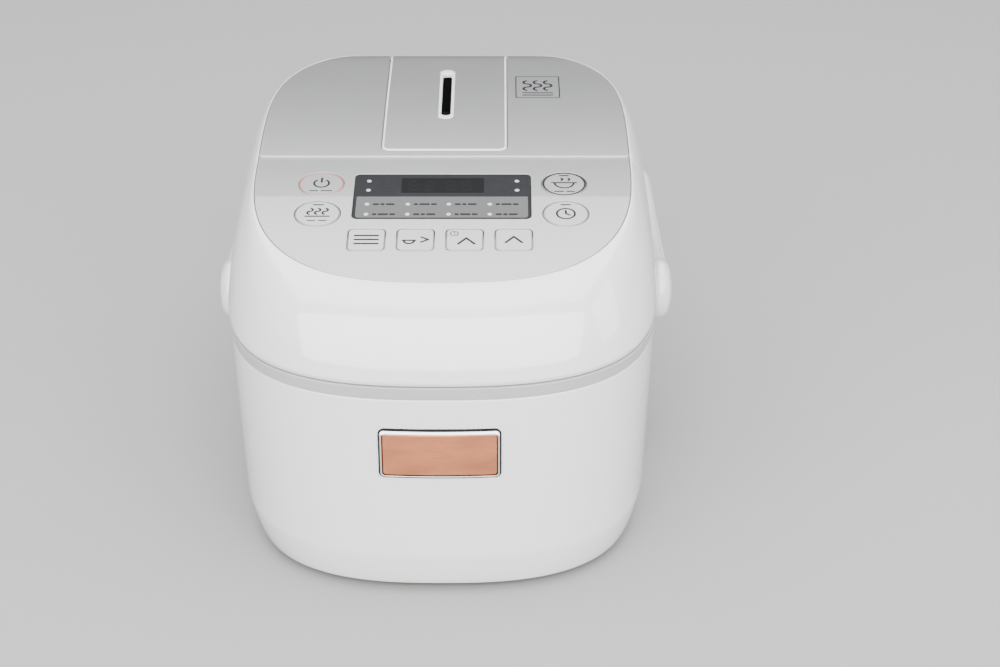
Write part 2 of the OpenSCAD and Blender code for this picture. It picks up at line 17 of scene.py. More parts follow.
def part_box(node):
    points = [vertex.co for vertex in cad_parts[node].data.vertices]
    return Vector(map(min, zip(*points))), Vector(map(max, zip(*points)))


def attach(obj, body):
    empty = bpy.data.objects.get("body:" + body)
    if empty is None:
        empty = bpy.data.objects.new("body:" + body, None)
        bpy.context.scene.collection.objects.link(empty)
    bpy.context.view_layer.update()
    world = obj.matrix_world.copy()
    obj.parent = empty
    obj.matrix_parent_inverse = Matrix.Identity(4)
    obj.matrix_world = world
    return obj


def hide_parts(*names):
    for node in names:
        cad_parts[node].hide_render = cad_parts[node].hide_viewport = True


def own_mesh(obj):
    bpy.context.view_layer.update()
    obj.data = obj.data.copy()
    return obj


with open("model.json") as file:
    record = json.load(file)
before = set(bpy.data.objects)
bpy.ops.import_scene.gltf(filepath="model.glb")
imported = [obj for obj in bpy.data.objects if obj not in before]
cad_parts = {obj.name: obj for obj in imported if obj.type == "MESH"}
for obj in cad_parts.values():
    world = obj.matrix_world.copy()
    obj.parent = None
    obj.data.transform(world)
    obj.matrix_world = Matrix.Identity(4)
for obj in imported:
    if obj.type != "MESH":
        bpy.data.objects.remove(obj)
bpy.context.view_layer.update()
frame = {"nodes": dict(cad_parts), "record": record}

MM = 0.001
shell_low, shell_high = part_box("body_shell")
BODY_Y = (shell_low.y + shell_high.y) / 2 / MM
HANDLE_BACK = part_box("handle")[1].y / MM - BODY_Y


# ---- materials ----

def shade(color, factor):
    return [min(1.0, max(0.0, c * factor)) for c in color] + [1.0]


class Nodes:
    """Short names for building a node tree on the object's own coordinates."""

    def __init__(self, name):
        self.material = bpy.data.materials.new(name)
        self.material.use_nodes = True
        self.tree = self.material.node_tree
        self.shader = self.tree.nodes["Principled BSDF"]
        self.place = self.tree.nodes.new("ShaderNodeTexCoord").outputs["Object"]

    def link(self, output, to):
        self.tree.links.new(output, to)

    def noise(self, size, detail, stretch=(1, 1, 1)):
        mapping = self.tree.nodes.new("ShaderNodeMapping")
        mapping.inputs["Scale"].default_value = stretch
        self.link(self.place, mapping.inputs["Vector"])
        node = self.tree.nodes.new("ShaderNodeTexNoise")
        node.inputs["Scale"].default_value = 1 / size
        node.inputs["Detail"].default_value = detail
        self.link(mapping.outputs["Vector"], node.inputs["Vector"])
        return node.outputs["Fac"]

    def ramp(self, factor, stops):
        """Two colours and the factors at which they are reached."""
        node = self.tree.nodes.new("ShaderNodeValToRGB")
        for element, (position, color) in zip(node.color_ramp.elements, stops):
            element.position = position
            element.color = color
        self.link(factor, node.inputs["Fac"])
        return node.outputs["Color"]

    def spread(self, factor, low, high):
        """Noise from its usual range, 0.25 to 0.75, to low and high."""
        node = self.tree.nodes.new("ShaderNodeMapRange")
        node.inputs["From Min"].default_value = 0.25
        node.inputs["From Max"].default_value = 0.75
        node.inputs["To Min"].default_value = low
        node.inputs["To Max"].default_value = high
        self.link(factor, node.inputs["Value"])
        return node.outputs["Result"]

    def blend(self, mask, under, color):
        node = self.tree.nodes.new("ShaderNodeMix")
        node.data_type = "RGBA"
        self.link(mask, node.inputs["Factor"])
        self.link(under, node.inputs["A"])
        node.inputs["B"].default_value = color
        return node.outputs["Result"]

    def bump(self, height, distance):
        node = self.tree.nodes.new("ShaderNodeBump")
        node.inputs["Distance"].default_value = distance
        self.link(height, node.inputs["Height"])
        self.link(node.outputs["Normal"], self.shader.inputs["Normal"])


def finish(name, color, rough, metal=0.0, coat=0.0, coat_rough=0.03, tone=0.03, tone_size=0.03,
           grain=0.15, grain_size=0.0012, bump=2e-6, stretch=(1, 1, 1), flecks=None,
           level=0.5, tone_stretch=None):
    """A surface with drifting tone, uneven gloss, fine relief and, if wanted, flecks.
    Sizes and the bump's height are in metres, and flecks is (colour, size, threshold)."""
    n = Nodes(name)
    socket = n.shader.inputs
    drift = n.noise(tone_size, 4.0, tone_stretch or stretch)
    tint = n.ramp(drift, [(0.3, shade(color, 1 - tone)), (0.7, shade(color, 1 + tone))])
    fine = n.noise(grain_size, 3.0, stretch)
    if flecks:
        fleck_color, fleck_size, threshold = flecks
        spots = n.noise(fleck_size, 1.0)
        mask = n.ramp(spots, [(threshold, (0, 0, 0, 1)), (threshold + 0.04, (1, 1, 1, 1))])
        tint = n.blend(mask, tint, [*fleck_color, 1.0])
    n.link(tint, socket["Base Color"])
    n.link(n.spread(fine, rough * (1 - grain), rough * (1 + grain)), socket["Roughness"])
    socket["Metallic"].default_value = metal
    socket["Specular IOR Level"].default_value = level
    socket["Coat Weight"].default_value = coat
    socket["Coat Roughness"].default_value = coat_rough
    n.bump(fine, bump)
    socket["Coat IOR"].default_value = 1.7
    return n.material


BRUSH = (1, 30, 30)
LOOKS = {
    "white_gloss": dict(
        color=(0.84, 0.84, 0.835), rough=0.22, coat=1.0, tone=0.012, tone_size=0.05,
        grain=0.2, grain_size=0.003, bump=3e-6),
    "frame_grey": dict(
        color=(0.44, 0.445, 0.45), rough=0.34, coat=0.2, tone=0.02, grain=0.2,
        grain_size=0.0009),
    "trim_light": dict(
        color=(0.82, 0.825, 0.83), rough=0.22, coat=0.8, tone=0.02, grain_size=0.0006),
    "base_dark": dict(
        color=(0.045, 0.045, 0.05), rough=0.55, tone=0.12, grain=0.2, grain_size=0.0007,
        bump=2e-5),
    "foot_rubber": dict(
        color=(0.03, 0.03, 0.032), rough=0.8, tone=0.2, tone_size=0.004, grain_size=0.0005,
        bump=4e-5, level=0.3),
    "steel": dict(
        color=(0.6, 0.6, 0.61), rough=0.3, metal=1.0, tone=0.08, tone_size=0.008, grain=0.35,
        grain_size=0.0006, stretch=BRUSH, bump=3e-6),
    "sheet_steel": dict(
        color=(0.62, 0.63, 0.64), rough=0.42, metal=1.0, tone=0.16, tone_size=0.006, grain=0.3,
        grain_size=0.002),
    "pot_coating": dict(
        color=(0.045, 0.045, 0.048), rough=0.38, metal=0.2, coat=0.25, coat_rough=0.2,
        tone=0.15, tone_size=0.01, grain_size=0.0008, bump=1e-5,
        flecks=((0.42, 0.41, 0.4), 0.0009, 0.66)),
    "cast_aluminium": dict(
        color=(0.62, 0.62, 0.63), rough=0.45, metal=1.0, tone=0.1, tone_size=0.01, grain=0.25,
        grain_size=0.001, bump=2e-5),
    "heater_dark": dict(
        color=(0.12, 0.1, 0.095), rough=0.5, metal=0.8, tone=0.35, tone_size=0.008,
        grain_size=0.001, bump=1e-5),
    "band_mica": dict(
        color=(0.42, 0.3, 0.16), rough=0.4, coat=0.3, tone=0.25, tone_size=0.012,
        grain_size=0.002, flecks=((0.62, 0.5, 0.3), 0.004, 0.6)),
    "circuit_board": dict(
        color=(0.02, 0.16, 0.07), rough=0.35, coat=0.5, tone=0.25, tone_size=0.004,
        grain_size=0.0008, flecks=((0.04, 0.3, 0.13), 0.0028, 0.58)),
    "component_black": dict(
        color=(0.035, 0.035, 0.038), rough=0.5, tone=0.2, tone_size=0.004, grain_size=0.0005,
        bump=1e-5),
    "contact_metal": dict(
        color=(0.78, 0.7, 0.5), rough=0.25, metal=1.0, tone=0.08, tone_size=0.003, grain=0.3,
        grain_size=0.0005, stretch=BRUSH),
    "chrome_trim": dict(
        color=(0.8, 0.8, 0.81), rough=0.07, metal=1.0, tone_size=0.01, grain=0.3,
        grain_size=0.002, bump=5e-7),
    "copper_plate": dict(
        color=(0.66, 0.235, 0.11), rough=0.34, metal=0.8, coat=0.2, coat_rough=0.15, tone=0.2,
        tone_size=0.011, grain=0.3, grain_size=0.02, stretch=BRUSH, bump=1e-6,
        tone_stretch=(0.3, 1, 1)),
    "silver_panel": dict(
        color=(0.49, 0.495, 0.5), rough=0.33, metal=0.75, coat=1.0, coat_rough=0.02,
        tone=0.015, tone_size=0.02, grain=0.2, grain_size=0.0004, bump=5e-7,
        flecks=((0.64, 0.645, 0.65), 0.00035, 0.66)),
    "smoked_window": dict(
        color=(0.02, 0.021, 0.023), rough=0.3, coat=1.0, coat_rough=0.012, level=0.0,
        tone=0.08, tone_size=0.01, grain_size=0.0006, bump=3e-7),
    "lcd_grey": dict(
        color=(0.006, 0.007, 0.007), rough=0.3, coat=1.0, coat_rough=0.015, level=0.0,
        tone=0.1, tone_size=0.004, grain_size=0.0004, bump=3e-7),
    "light_guide": dict(
        color=(0.5, 0.515, 0.52), rough=0.18, coat=0.8, tone=0.05, tone_size=0.002,
        grain_size=0.0004),
    "inner_plastic": dict(
        color=(0.62, 0.62, 0.625), rough=0.45, tone=0.02, grain=0.2, grain_size=0.0008,
        bump=1e-5),
    "heater_foil": dict(
        color=(0.75, 0.75, 0.76), rough=0.25, metal=1.0, tone=0.08, tone_size=0.006, grain=0.4,
        grain_size=0.004, bump=6e-5),
    "lid_aluminium": dict(
        color=(0.66, 0.66, 0.67), rough=0.32, metal=1.0, tone=0.04, tone_size=0.02, grain=0.12,
        bump=1e-6),
    "silicone": dict(
        color=(0.7, 0.7, 0.68), rough=0.5, tone=0.04, tone_size=0.006, grain_size=0.0007,
        bump=1e-5, level=0.4),
    "steam_box_dark": dict(
        color=(0.06, 0.06, 0.065), rough=0.5, tone=0.12, tone_size=0.01, grain_size=0.0007,
        bump=1e-5),
}
FINISHES = {name: finish(name, **look) for name, look in LOOKS.items()}


def ink(name, color, tone):
    return finish(name, color, 0.5, tone=tone, tone_size=0.003, grain_size=0.0004, level=0.2)


# Dark print ink. The same finish is also used as painted shadow in the gap round the button's
# chrome bezel.
DARK_INK_AND_SHADE = ink("dark_ink_and_shade", (0.012, 0.012, 0.014), 0.15)
INK_GREY = ink("ink_grey", (0.16, 0.16, 0.165), 0.1)
INK_PINK = ink("ink_pink", (0.5, 0.13, 0.14), 0.08)
POT_OUTSIDE = finish("pot_outside", (0.1, 0.1, 0.105), 0.35, metal=0.7, tone=0.15,
                     tone_size=0.008, grain=0.3, grain_size=0.0009, bump=5e-6)
POT_MARK = finish("pot_mark", (0.55, 0.55, 0.54), 0.5, tone=0.06, tone_size=0.003,
                  grain_size=0.0005)
LCD_INK = finish("lcd_ink", (0.0095, 0.0105, 0.0105), 0.3, coat=1.0, coat_rough=0.015, tone=0.05,
                 tone_size=0.003, grain_size=0.0004, level=0.0)


# ---- mesh building ----

def unit_rows(rows):
    """Each row scaled to length one; a row of zeros stays as it is."""
    return rows / np.maximum(np.linalg.norm(rows, axis=1, keepdims=True), 1e-9)


def raised(line, height):
    """Flat points with their third coordinate added."""
    return np.concatenate([line, np.full((len(line), 1), height)], 1)


def put_in_scene(name, data):
    obj = bpy.data.objects.new(name, data)
    bpy.context.scene.collection.objects.link(obj)
    return obj


class Part:
    """Faces whose corners each carry their own point and normal; build() welds the points."""

    def __init__(self):
        self.points = []
        self.normals = []
        self.faces = []
        self.count = 0

    def add(self, points, normals):
        points = np.asarray(points, float).reshape(-1, 3)
        self.points.append(points)
        self.normals.append(np.asarray(normals, float).reshape(-1, 3))
        self.count += len(points)
        return np.arange(self.count - len(points), self.count)

    def strip(self, low, high, closed=True):
        """Quads between two rows of corners."""
        corners = np.stack([low, np.roll(low, -1), np.roll(high, -1), high], 1)
        self.faces.append(corners if closed else corners[:-1])

    def build(self, name, finish_of, body, replaced=()):
        points = np.concatenate(self.points)
        normals = unit_rows(np.concatenate(self.normals))
        _, first, weld = np.unique(
            np.round(points, 3), axis=0, return_index=True, return_inverse=True)
        weld = weld.reshape(-1)
        faces, corner_normals = [], []
        seen = set()
        for block in self.faces:
            p = points[block]
            if block.shape[1] == 3:
                facing = np.cross(p[:, 1] - p[:, 0], p[:, 2] - p[:, 0])
            else:
                facing = np.cross(p[:, 2] - p[:, 0], p[:, 3] - p[:, 1])
            wrong = (facing * normals[block].sum(1)).sum(1) < 0
            block = np.where(wrong[:, None], block[:, ::-1], block)
            for corners, welded in zip(block.tolist(), weld[block].tolist()):
                kept = [i for i, w in enumerate(welded) if w != welded[i - 1]]
                face = frozenset(welded[i] for i in kept)
                # Strokes that touch end to end share a wall, which is kept once
                if len(kept) > 2 and len(face) == len(kept) and face not in seen:
                    seen.add(face)
                    faces.append([welded[i] for i in kept])
                    corner_normals.extend(corners[i] for i in kept)
        mesh = bpy.data.meshes.new(name)
        place = (points[first] + [0, BODY_Y, 0]) * MM
        mesh.from_pydata(place.tolist(), [], faces)
        mesh.shade_smooth()
        mesh.normals_split_custom_set(normals[corner_normals].tolist())
        obj = put_in_scene(name, mesh)
        is_slot = isinstance(finish_of, str)
        mesh.materials.append(FINISHES[finish_of] if is_slot else finish_of)
        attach(obj, body)
        if replaced:
            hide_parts(*replaced)
        return obj


def spaced(points, step, closed=True):
    """The same line with no gap longer than step."""
    points = np.asarray(points, float)
    ends = np.roll(points, -1, axis=0) if closed else points[1:]
    out = []
    for start, end in zip(points, ends):
        count = max(1, math.ceil(np.linalg.norm(end - start) / step - 1e-9))
        out.extend(start + (end - start) * k / count for k in range(count))
    if not closed:
        out.append(points[-1])
    return np.array(out)


def offset_lines(line, period):
    """How far each point of a counter-clockwise line moves outwards per millimetre of offset."""
    before = np.roll(line, 1, axis=0)
    after = np.roll(line, -1, axis=0)
    if period:
        before[0] = line[-2] - [period, 0]
        after[-1] = line[1] + [period, 0]
    first = unit_rows(line - before)
    second = unit_rows(after - line)
    total = np.stack([first[:, 1] + second[:, 1], -first[:, 0] - second[:, 0]], 1)
    dot = (first * second).sum(1, keepdims=True)
    return total / np.maximum(1 + dot, 0.35)


def inside(points, loop):
    x, y = points[:, 0][:, None], points[:, 1][:, None]
    a, b = loop, np.roll(loop, -1, axis=0)
    crosses = (a[:, 1] > y) != (b[:, 1] > y)
    rise = np.where(b[:, 1] == a[:, 1], 1e-12, b[:, 1] - a[:, 1])
    at = a[:, 0] + (y - a[:, 1]) / rise * (b[:, 0] - a[:, 0])
    return (crosses & (x < at)).sum(1) % 2 == 1


def signed_area(loop):
    after = np.roll(loop, -1, axis=0)
    return 0.5 * (loop[:, 0] * after[:, 1] - after[:, 0] * loop[:, 1]).sum()


def within(points, loops):
    """Which points are inside the first loop and outside the others."""
    keep = inside(points, loops[0])
    for loop in loops[1:]:
        keep &= ~inside(points, loop)
    return keep


def fill(loops, grid, margin):
    """Triangles of the area inside the first loop and outside the others."""
    border = np.concatenate(loops)
    if len(grid):
        grid = grid[within(grid, loops)]
    if len(grid):
        near = np.full(len(grid), np.inf)
        for start in range(0, len(border), 64):
            gap = grid[:, None, :] - border[None, start:start + 64, :]
            near = np.minimum(near, (gap ** 2).sum(2).min(1))
        grid = grid[near > margin ** 2]
    points = np.concatenate([border, grid]) if len(grid) else border
    edges, start = [], 0
    for loop in loops:
        edges += [(start + i, start + (i + 1) % len(loop)) for i in range(len(loop))]
        start += len(loop)
    result = delaunay_2d_cdt([Vector(p) for p in points], edges, [], 0, 1e-6)
    origin = [o[0] if o else -1 for o in result[3]]
    triangles = np.array([[origin[i] for i in face] for face in result[2]])
    triangles = triangles[(triangles >= 0).all(1)]
    return points, triangles[within(points[triangles].mean(1), loops)]


def normals_on(surface, spots, directions):
    """World normals of directions given in the surface's own (along, across, depth) space."""
    h = 0.02
    slopes = [
        (surface(spots + np.eye(3)[k] * h) - surface(spots - np.eye(3)[k] * h)) / (2 * h)
        for k in range(3)]
    a, b, d = slopes
    turned = [np.cross(b, d), np.cross(d, a), np.cross(a, b)]
    volume = np.sign((a * turned[0]).sum(1, keepdims=True))
    return unit_rows(sum(turned[k] * directions[:, k:k + 1] for k in range(3)) * volume)


def plate(part, surface, outline, thick, edge, holes=(), hole_edge=None, under=None, step=3.0,
          rows=None, rounds=5, period=0):
    """A solid of that outline on a curved surface. surface maps (a, b, depth) to millimetres.
    edge is the rounding of the outer rim's face side, hole_edge of the holes', and under of
    the back side. With a period, outline is (lower line, upper line) round a closed body."""
    hole_edge = edge if hole_edge is None else hole_edge
    under = min(edge, thick / 2) if under is None else under
    rims = []
    if period:
        lower, upper = (np.asarray(line, float) for line in outline)
        upper = upper[::-1]
        rims += [(lower, edge, period, 1), (upper, edge, -period, 1)]
    else:
        line = np.asarray(outline, float)
        rims.append((line if signed_area(line) > 0 else line[::-1], edge, 0, 0))
    for hole in holes:
        line = np.asarray(hole, float)
        rims.append((line if signed_area(line) < 0 else line[::-1], hole_edge, 0, 0))
    face_loops, top_rims = [], []
    for line, radius, turn, is_open in rims:
        out = offset_lines(line, turn)
        face_loops.append(line - out * radius)
        top_rims.append((line, out, radius, is_open))
    if period:
        left = spaced([face_loops[1][-1], face_loops[0][0]], step, closed=False)[1:-1]
        right = left[::-1] + [period, 0]
        first = np.concatenate([face_loops[0], right, face_loops[1], left])
        loops = [first, *face_loops[2:]]
    else:
        loops = face_loops
    low, high = loops[0].min(0), loops[0].max(0)
    if step:
        across = np.arange(low[0] + step / 2, high[0], step)
        up = np.arange(low[1] + step / 2, high[1], step) if rows is None else np.asarray(rows)
        grid = np.stack(np.meshgrid(across, up), 2).reshape(-1, 2)
    else:
        grid = np.zeros((0, 2))
    flat, triangles = fill(loops, grid, max(0.5 * step, 0.3))
    spots = raised(flat, 0.0)
    facing = np.tile([0.0, 0.0, -1.0], (len(spots), 1))
    part.faces.append(part.add(surface(spots), normals_on(surface, spots, facing))[triangles])
    back = spots.copy()
    back[:, 2] = thick
    cursor = 0
    angles = np.linspace(0, math.pi / 2, rounds)
    for index, (line, out, radius, is_open) in enumerate(top_rims):
        unit = unit_rows(out)
        rings = [(radius * (1 - math.sin(t)), radius * (1 - math.cos(t)), t) for t in angles]
        low_r = min(under, radius) if radius else 0.0
        rings += [(low_r * (1 - math.sin(t)), thick - low_r * (1 - math.cos(t)), math.pi - t)
                  for t in angles[::-1]]
        rows_made = []
        for pull, depth, t in rings:
            at = raised(line - out * pull, depth)
            turn = raised(unit * math.sin(t), -math.cos(t))
            rows_made.append(part.add(surface(at), normals_on(surface, at, turn)))
        for lower_row, upper_row in zip(rows_made, rows_made[1:]):
            part.strip(lower_row, upper_row, closed=not is_open)
        size = len(line)
        if period and index < 2:
            start = 0 if index == 0 else len(face_loops[0]) + len(left)
        elif period:
            start = len(loops[0]) + sum(len(l) for l in face_loops[2:index])
        else:
            start = cursor
        back[start:start + size, :2] = line - out * low_r
        cursor += size
    down = np.tile([0.0, 0.0, 1.0], (len(back), 1))
    part.faces.append(part.add(surface(back), normals_on(surface, back, down))[triangles])


def arc(x, y, r, start, end, count):
    angles = np.radians(np.linspace(start, end, count))
    return np.stack([x + r * np.cos(angles), y + r * np.sin(angles)], 1)


def circle(r, x=0.0, y=0.0, count=64):
    return arc(x, y, r, 0, 360, count + 1)[:-1]


def rounded_rect(w, d, r, x=0.0, y=0.0, step=3.0, count=7):
    corners = [(1, 1, 0), (-1, 1, 90), (-1, -1, 180), (1, -1, 270)]
    line = np.concatenate([
        arc(x + sx * (w / 2 - r), y + sy * (d / 2 - r), r, start, start + 90, count)
        for sx, sy, start in corners])
    return spaced(line, step)


def rounded_corners(points, radii, count=6):
    """A closed outline with each corner rounded to its own radius."""
    points = np.asarray(points, float)
    out = []
    for i, r in enumerate(np.broadcast_to(radii, len(points))):
        here, before, after = points[i], points[i - 1], points[(i + 1) % len(points)]
        if r <= 0:
            out.append(here)
            continue
        u = (before - here) / np.linalg.norm(before - here)
        v = (after - here) / np.linalg.norm(after - here)
        half = math.acos(max(-1, min(1, float(u @ v)))) / 2
        reach = r / math.tan(half)
        middle = here + (u + v) / np.linalg.norm(u + v) * r / math.sin(half)
        a = here + u * reach - middle
        b = here + v * reach - middle
        start = math.atan2(a[1], a[0])
        turn = (math.atan2(b[1], b[0]) - start + math.pi) % (2 * math.pi) - math.pi
        for k in range(count):
            t = start + turn * k / (count - 1)
            out.append(middle + r * np.array([math.cos(t), math.sin(t)]))
    return np.array(out)


AXES = {"z": np.eye(3), "x": np.array([[0, 1, 0], [0, 0, 1], [1, 0, 0.0]]),
        "y": np.array([[0, 0, 1], [1, 0, 0], [0, 1, 0.0]])}


def tube(inner, outer, low, high):
    """The outline of a tube, ring or pin, for lathe()."""
    return [(inner, low), (outer, low), (outer, high), (inner, high)]


def lathe(part, profile, centre=(0, 0, 0), axis="z", radii=0.0, turns=96, count=6):
    """A closed (radius, height) outline turned round an axis, with rounded corners."""
    line = rounded_corners(profile, radii, count)
    area = signed_area(line)
    angles = np.linspace(0, 2 * math.pi, turns + 1)[:-1]
    about = np.stack([np.cos(angles), np.sin(angles)], 1)
    across = AXES[axis]
    steps = np.roll(line, -1, axis=0) - line
    lengths = np.linalg.norm(steps, axis=1)
    normal = np.stack([steps[:, 1], -steps[:, 0]], 1) * (1 if area > 0 else -1)
    normal /= np.maximum(lengths[:, None], 1e-9)
    smooth = unit_rows(normal + np.roll(normal, 1, axis=0))
    soft = (normal * np.roll(normal, 1, axis=0)).sum(1) > math.cos(math.radians(32))

    def row(point, direction):
        place = raised(about * point[0], point[1])
        facing = raised(about * direction[0], direction[1])
        return part.add(place @ across + centre, facing @ across)

    for i in range(len(line)):
        j = (i + 1) % len(line)
        if lengths[i] < 1e-6 or max(line[i][0], line[j][0]) < 1e-6:
            continue
        long = lengths[i] > 3
        start = smooth[i] if soft[i] and not long else normal[i]
        end = smooth[j] if soft[j] and not long else normal[i]
        part.strip(row(line[i], start), row(line[j], end))


def helix(part, radius, wire, start, end, turns, axis="z", centre=(0, 0, 0), sides=10):
    """A coil spring between two heights along an axis."""
    count = int(turns * 28)
    angles = np.linspace(0, 2 * math.pi * turns, count)
    heights = np.linspace(start + wire, end - wire, count)
    across = AXES[axis]
    out = np.stack([np.cos(angles), np.sin(angles), np.zeros(count)], 1)
    rise = np.stack([np.zeros(count), np.zeros(count), heights], 1)
    rings = []
    for k in range(sides):
        t = 2 * math.pi * k / sides
        facing = out * math.cos(t) + np.array([0, 0, 1]) * math.sin(t)
        place = out * radius + facing * wire + rise
        rings.append(part.add(place @ across + centre, facing @ across))
    for ring, following in zip(rings, rings[1:] + rings[:1]):
        part.strip(ring, following, closed=False)
    for end_index, facing in ((0, -1), (-1, 1)):
        cap = np.concatenate([part.points[-sides + k][[end_index]] for k in range(sides)])
        direction = np.cross([0, 0, 1], [math.cos(angles[end_index]),
                                         math.sin(angles[end_index]), 0]) * facing
        ids = part.add(cap, np.tile(direction @ across, (sides, 1)))
        part.faces.append(np.array([[ids[0], ids[k], ids[k + 1]] for k in range(1, sides - 1)]))


def shorten(coil):
    """Gives a spring a mesh of its own."""
    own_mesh(coil)


def flat(origin, along=(1, 0, 0), across=(0, 1, 0), depth=(0, 0, 1)):
    """A flat surface for plate(): where (0, 0, 0) is and where its three directions point."""
    origin = np.asarray(origin, float)
    turn = np.array([along, across, depth], float)
    return lambda p: p @ turn + origin


def deeper(surface, depth):
    """The same surface for plate(), moved inwards by depth."""
    return lambda p: surface(p + [0, 0, depth])


def printed(part, surface, outline, thick=0.08, holes=(), edge=0.02):
    """A print: a very thin solid that lies on a surface."""
    plate(part, surface, outline, thick, edge, holes, step=0, rounds=2)


# ---- the cooker's own surfaces ----

SEAM_Z = 131.4
BAND_TOP = 130.7
BODY_TOP = 123.2
DECK_TOP = 122.4
HALF_W, HALF_D = 117.0, 147.0
TOP_HALF_W, TOP_FRONT, TOP_BACK = 102.4, 112.7, 145.0
CREASE_Y = 4.2
CROWN_Y = 112.0
CAP_FRONT = 10.8
SLOT_Y = 79.5
HINGE_Y, HINGE_Z = 140.0, 138.0
PIVOT_Y, PIVOT_Z = 8.0, 104.0
INLET_Y, INLET_Z = 20.0, 34.0
BUTTON_Z = 90.0
STEAM_Y = 62.0
FILLET_TOP = 25.7
LID_WALL, LID_LEAN = 57.0, 22.0
TOP_BOW = 2.9
BOSS_R, BAIL_END = 17.0, 20.0
CAP_SIDE, CAP_CORNER = 35.3, 30.4
POSTS = [(x, y) for x in (-84, 84) for y in (-92, 92)]
LID_SCREWS = ((84, -60), (90, 55), (58, 122))
WINDOW_Y, LCD_Y = -36.2, -25.8
INDICATOR_COLUMNS = [column * 21.9 - 40.15 for column in range(4)]
INDICATOR_ROWS = (-44.3, -53.9)
SIDE_ROWS = (-21.2, -30.5)
ROUND_KEYS = {"key_cancel": (-65.8, -24.2), "key_keep_warm": (-66, -53.5),
              "key_cook": (65.8, -24.2), "key_timer": (66, -53.5)}
SMALL_KEYS = {"key_menu": (-38.85, -77.2), "key_course": (-13.15, -77.2),
              "key_hour": (12.55, -77.2), "key_minute": (38.25, -77.2)}


def power(value, exponent):
    return np.sign(value) * np.abs(value) ** exponent


def round_plan(angle, half_w, front, back, nx=2.6, n_front=4.0, n_back=4.0):
    s = np.sin(angle)
    depth = np.where(s < 0, front, back)
    return (half_w * power(np.cos(angle), 2 / nx),
            depth * power(s, 2 / np.where(s < 0, n_front, n_back)))


def quadrants(start, end, count):
    """Angles that run evenly round an outline whose corners are tight."""
    t = np.linspace(start, end, count)
    whole = np.floor(t)
    part_of = t - whole
    return (whole + part_of ** 2 * (3 - 2 * part_of)) * math.pi / 2


def lengths_along(*columns):
    steps = np.sqrt(sum(np.diff(c) ** 2 for c in columns))
    return np.concatenate([[0.0], np.cumsum(steps)])


SEAM_ANGLES = quadrants(-2, 2, 4001)
SEAM_LENGTHS = lengths_along(*round_plan(SEAM_ANGLES, HALF_W, HALF_D, HALF_D))
AROUND = SEAM_LENGTHS[-1]


def seam_angle(along):
    return np.interp(along, SEAM_LENGTHS, SEAM_ANGLES)


def along_at(angle_deg):
    return float(np.interp(math.radians(angle_deg), SEAM_ANGLES, SEAM_LENGTHS))


def panel_z(y):
    return 188.3 - 0.0725 * (CREASE_Y - y) - 0.00045 * (CREASE_Y - y) ** 2


def cover_z(y):
    rise = 194.7 - 5.6 * ((CROWN_Y - y) / (CROWN_Y - CREASE_Y)) ** 2
    tail = np.clip((y - CROWN_Y) / (TOP_BACK - CROWN_Y), 0, 1.03)
    return np.where(y < CROWN_Y, rise, 194.7 - 7 * tail ** 6.5)


def edge_z(y):
    """Height of the lid's top edge: the panel's and the cover's, blended at the crease."""
    t = np.clip((y - CREASE_Y + 6) / 12, 0, 1)
    t = t * t * (3 - 2 * t)
    return panel_z(np.minimum(y, 30)) * (1 - t) + cover_z(y) * t


def panel_tilt(y):
    return math.atan(0.0725 + 0.0009 * (CREASE_Y - y))


fillet = np.linspace(math.pi / 2, 0, 61)
WALL_Z = np.concatenate([FILLET_TOP - 21.5 * np.sin(fillet) ** (2 / 1.2), [BODY_TOP]])
WALL_TUCK = np.concatenate([5 * (1 - np.cos(fillet) ** (2 / 1.2)), [0.0]])
WALL_LENGTHS = lengths_along(WALL_Z, WALL_TUCK)


def wall_at(z):
    return float(np.interp(z, WALL_Z, WALL_LENGTHS))


def body_surface(p):
    z = np.interp(p[:, 1], WALL_LENGTHS, WALL_Z)
    tuck = np.interp(p[:, 1], WALL_LENGTHS, WALL_TUCK)
    fall = (BODY_TOP - np.maximum(z, FILLET_TOP)) / (BODY_TOP - FILLET_TOP)
    half_w = HALF_W - 1 - 3.05 * fall - tuck - p[:, 2]
    half_d = HALF_D - 0.7 - 0.8 * fall - tuck - p[:, 2]
    x, y = round_plan(seam_angle(p[:, 0]), half_w, half_d, half_d)
    return np.stack([x, y, z], 1)


def upright(inset, flare=0.0):
    """An upright wall that follows the seam outline, with b as its height."""
    def surface(p):
        pull = inset + p[:, 2] - flare * np.clip((p[:, 1] - BODY_TOP) / 7.5, 0, 1)
        x, y = round_plan(seam_angle(p[:, 0]), HALF_W - pull, HALF_D - pull, HALF_D - pull)
        return np.stack([x, y, p[:, 1]], 1)
    return surface


lid_turn = np.linspace(0, math.pi / 2, 81)
LID_RISE = np.sin(lid_turn) ** (2 / 1.6)
LID_SWELL = np.cos(lid_turn) ** (2 / 1.6)
LID_LENGTHS = lengths_along(LID_WALL * LID_RISE, LID_LEAN * LID_SWELL)
LID_TALL = LID_LENGTHS[-1]


def lid_surface(p):
    v = np.interp(p[:, 1], LID_LENGTHS, LID_RISE)
    swell = np.interp(p[:, 1], LID_LENGTHS, LID_SWELL)
    angle = seam_angle(p[:, 0])
    lean = v ** 1.2 * math.pi / 2
    inset = p[:, 2] * np.cos(lean) + 0.8 * np.exp(-(p[:, 1] / 1.5) ** 2)
    gap = 0.3
    half_w = TOP_HALF_W + gap + (HALF_W - TOP_HALF_W - gap) * swell - inset
    front = TOP_FRONT + gap + (HALF_D - TOP_FRONT - gap) * swell - inset
    back = TOP_BACK + gap + (HALF_D - TOP_BACK - gap) * swell - inset
    x, y = round_plan(angle, half_w, front, back, 2.6 + 0.3 * v, 4 - 1.1 * v)
    rim = round_plan(angle, TOP_HALF_W, TOP_FRONT, TOP_BACK, TOP_BOW, TOP_BOW)[1]
    z = SEAM_Z * (1 - v) + edge_z(rim) * v - p[:, 2] * np.sin(lean)
    return np.stack([x, y, z], 1)


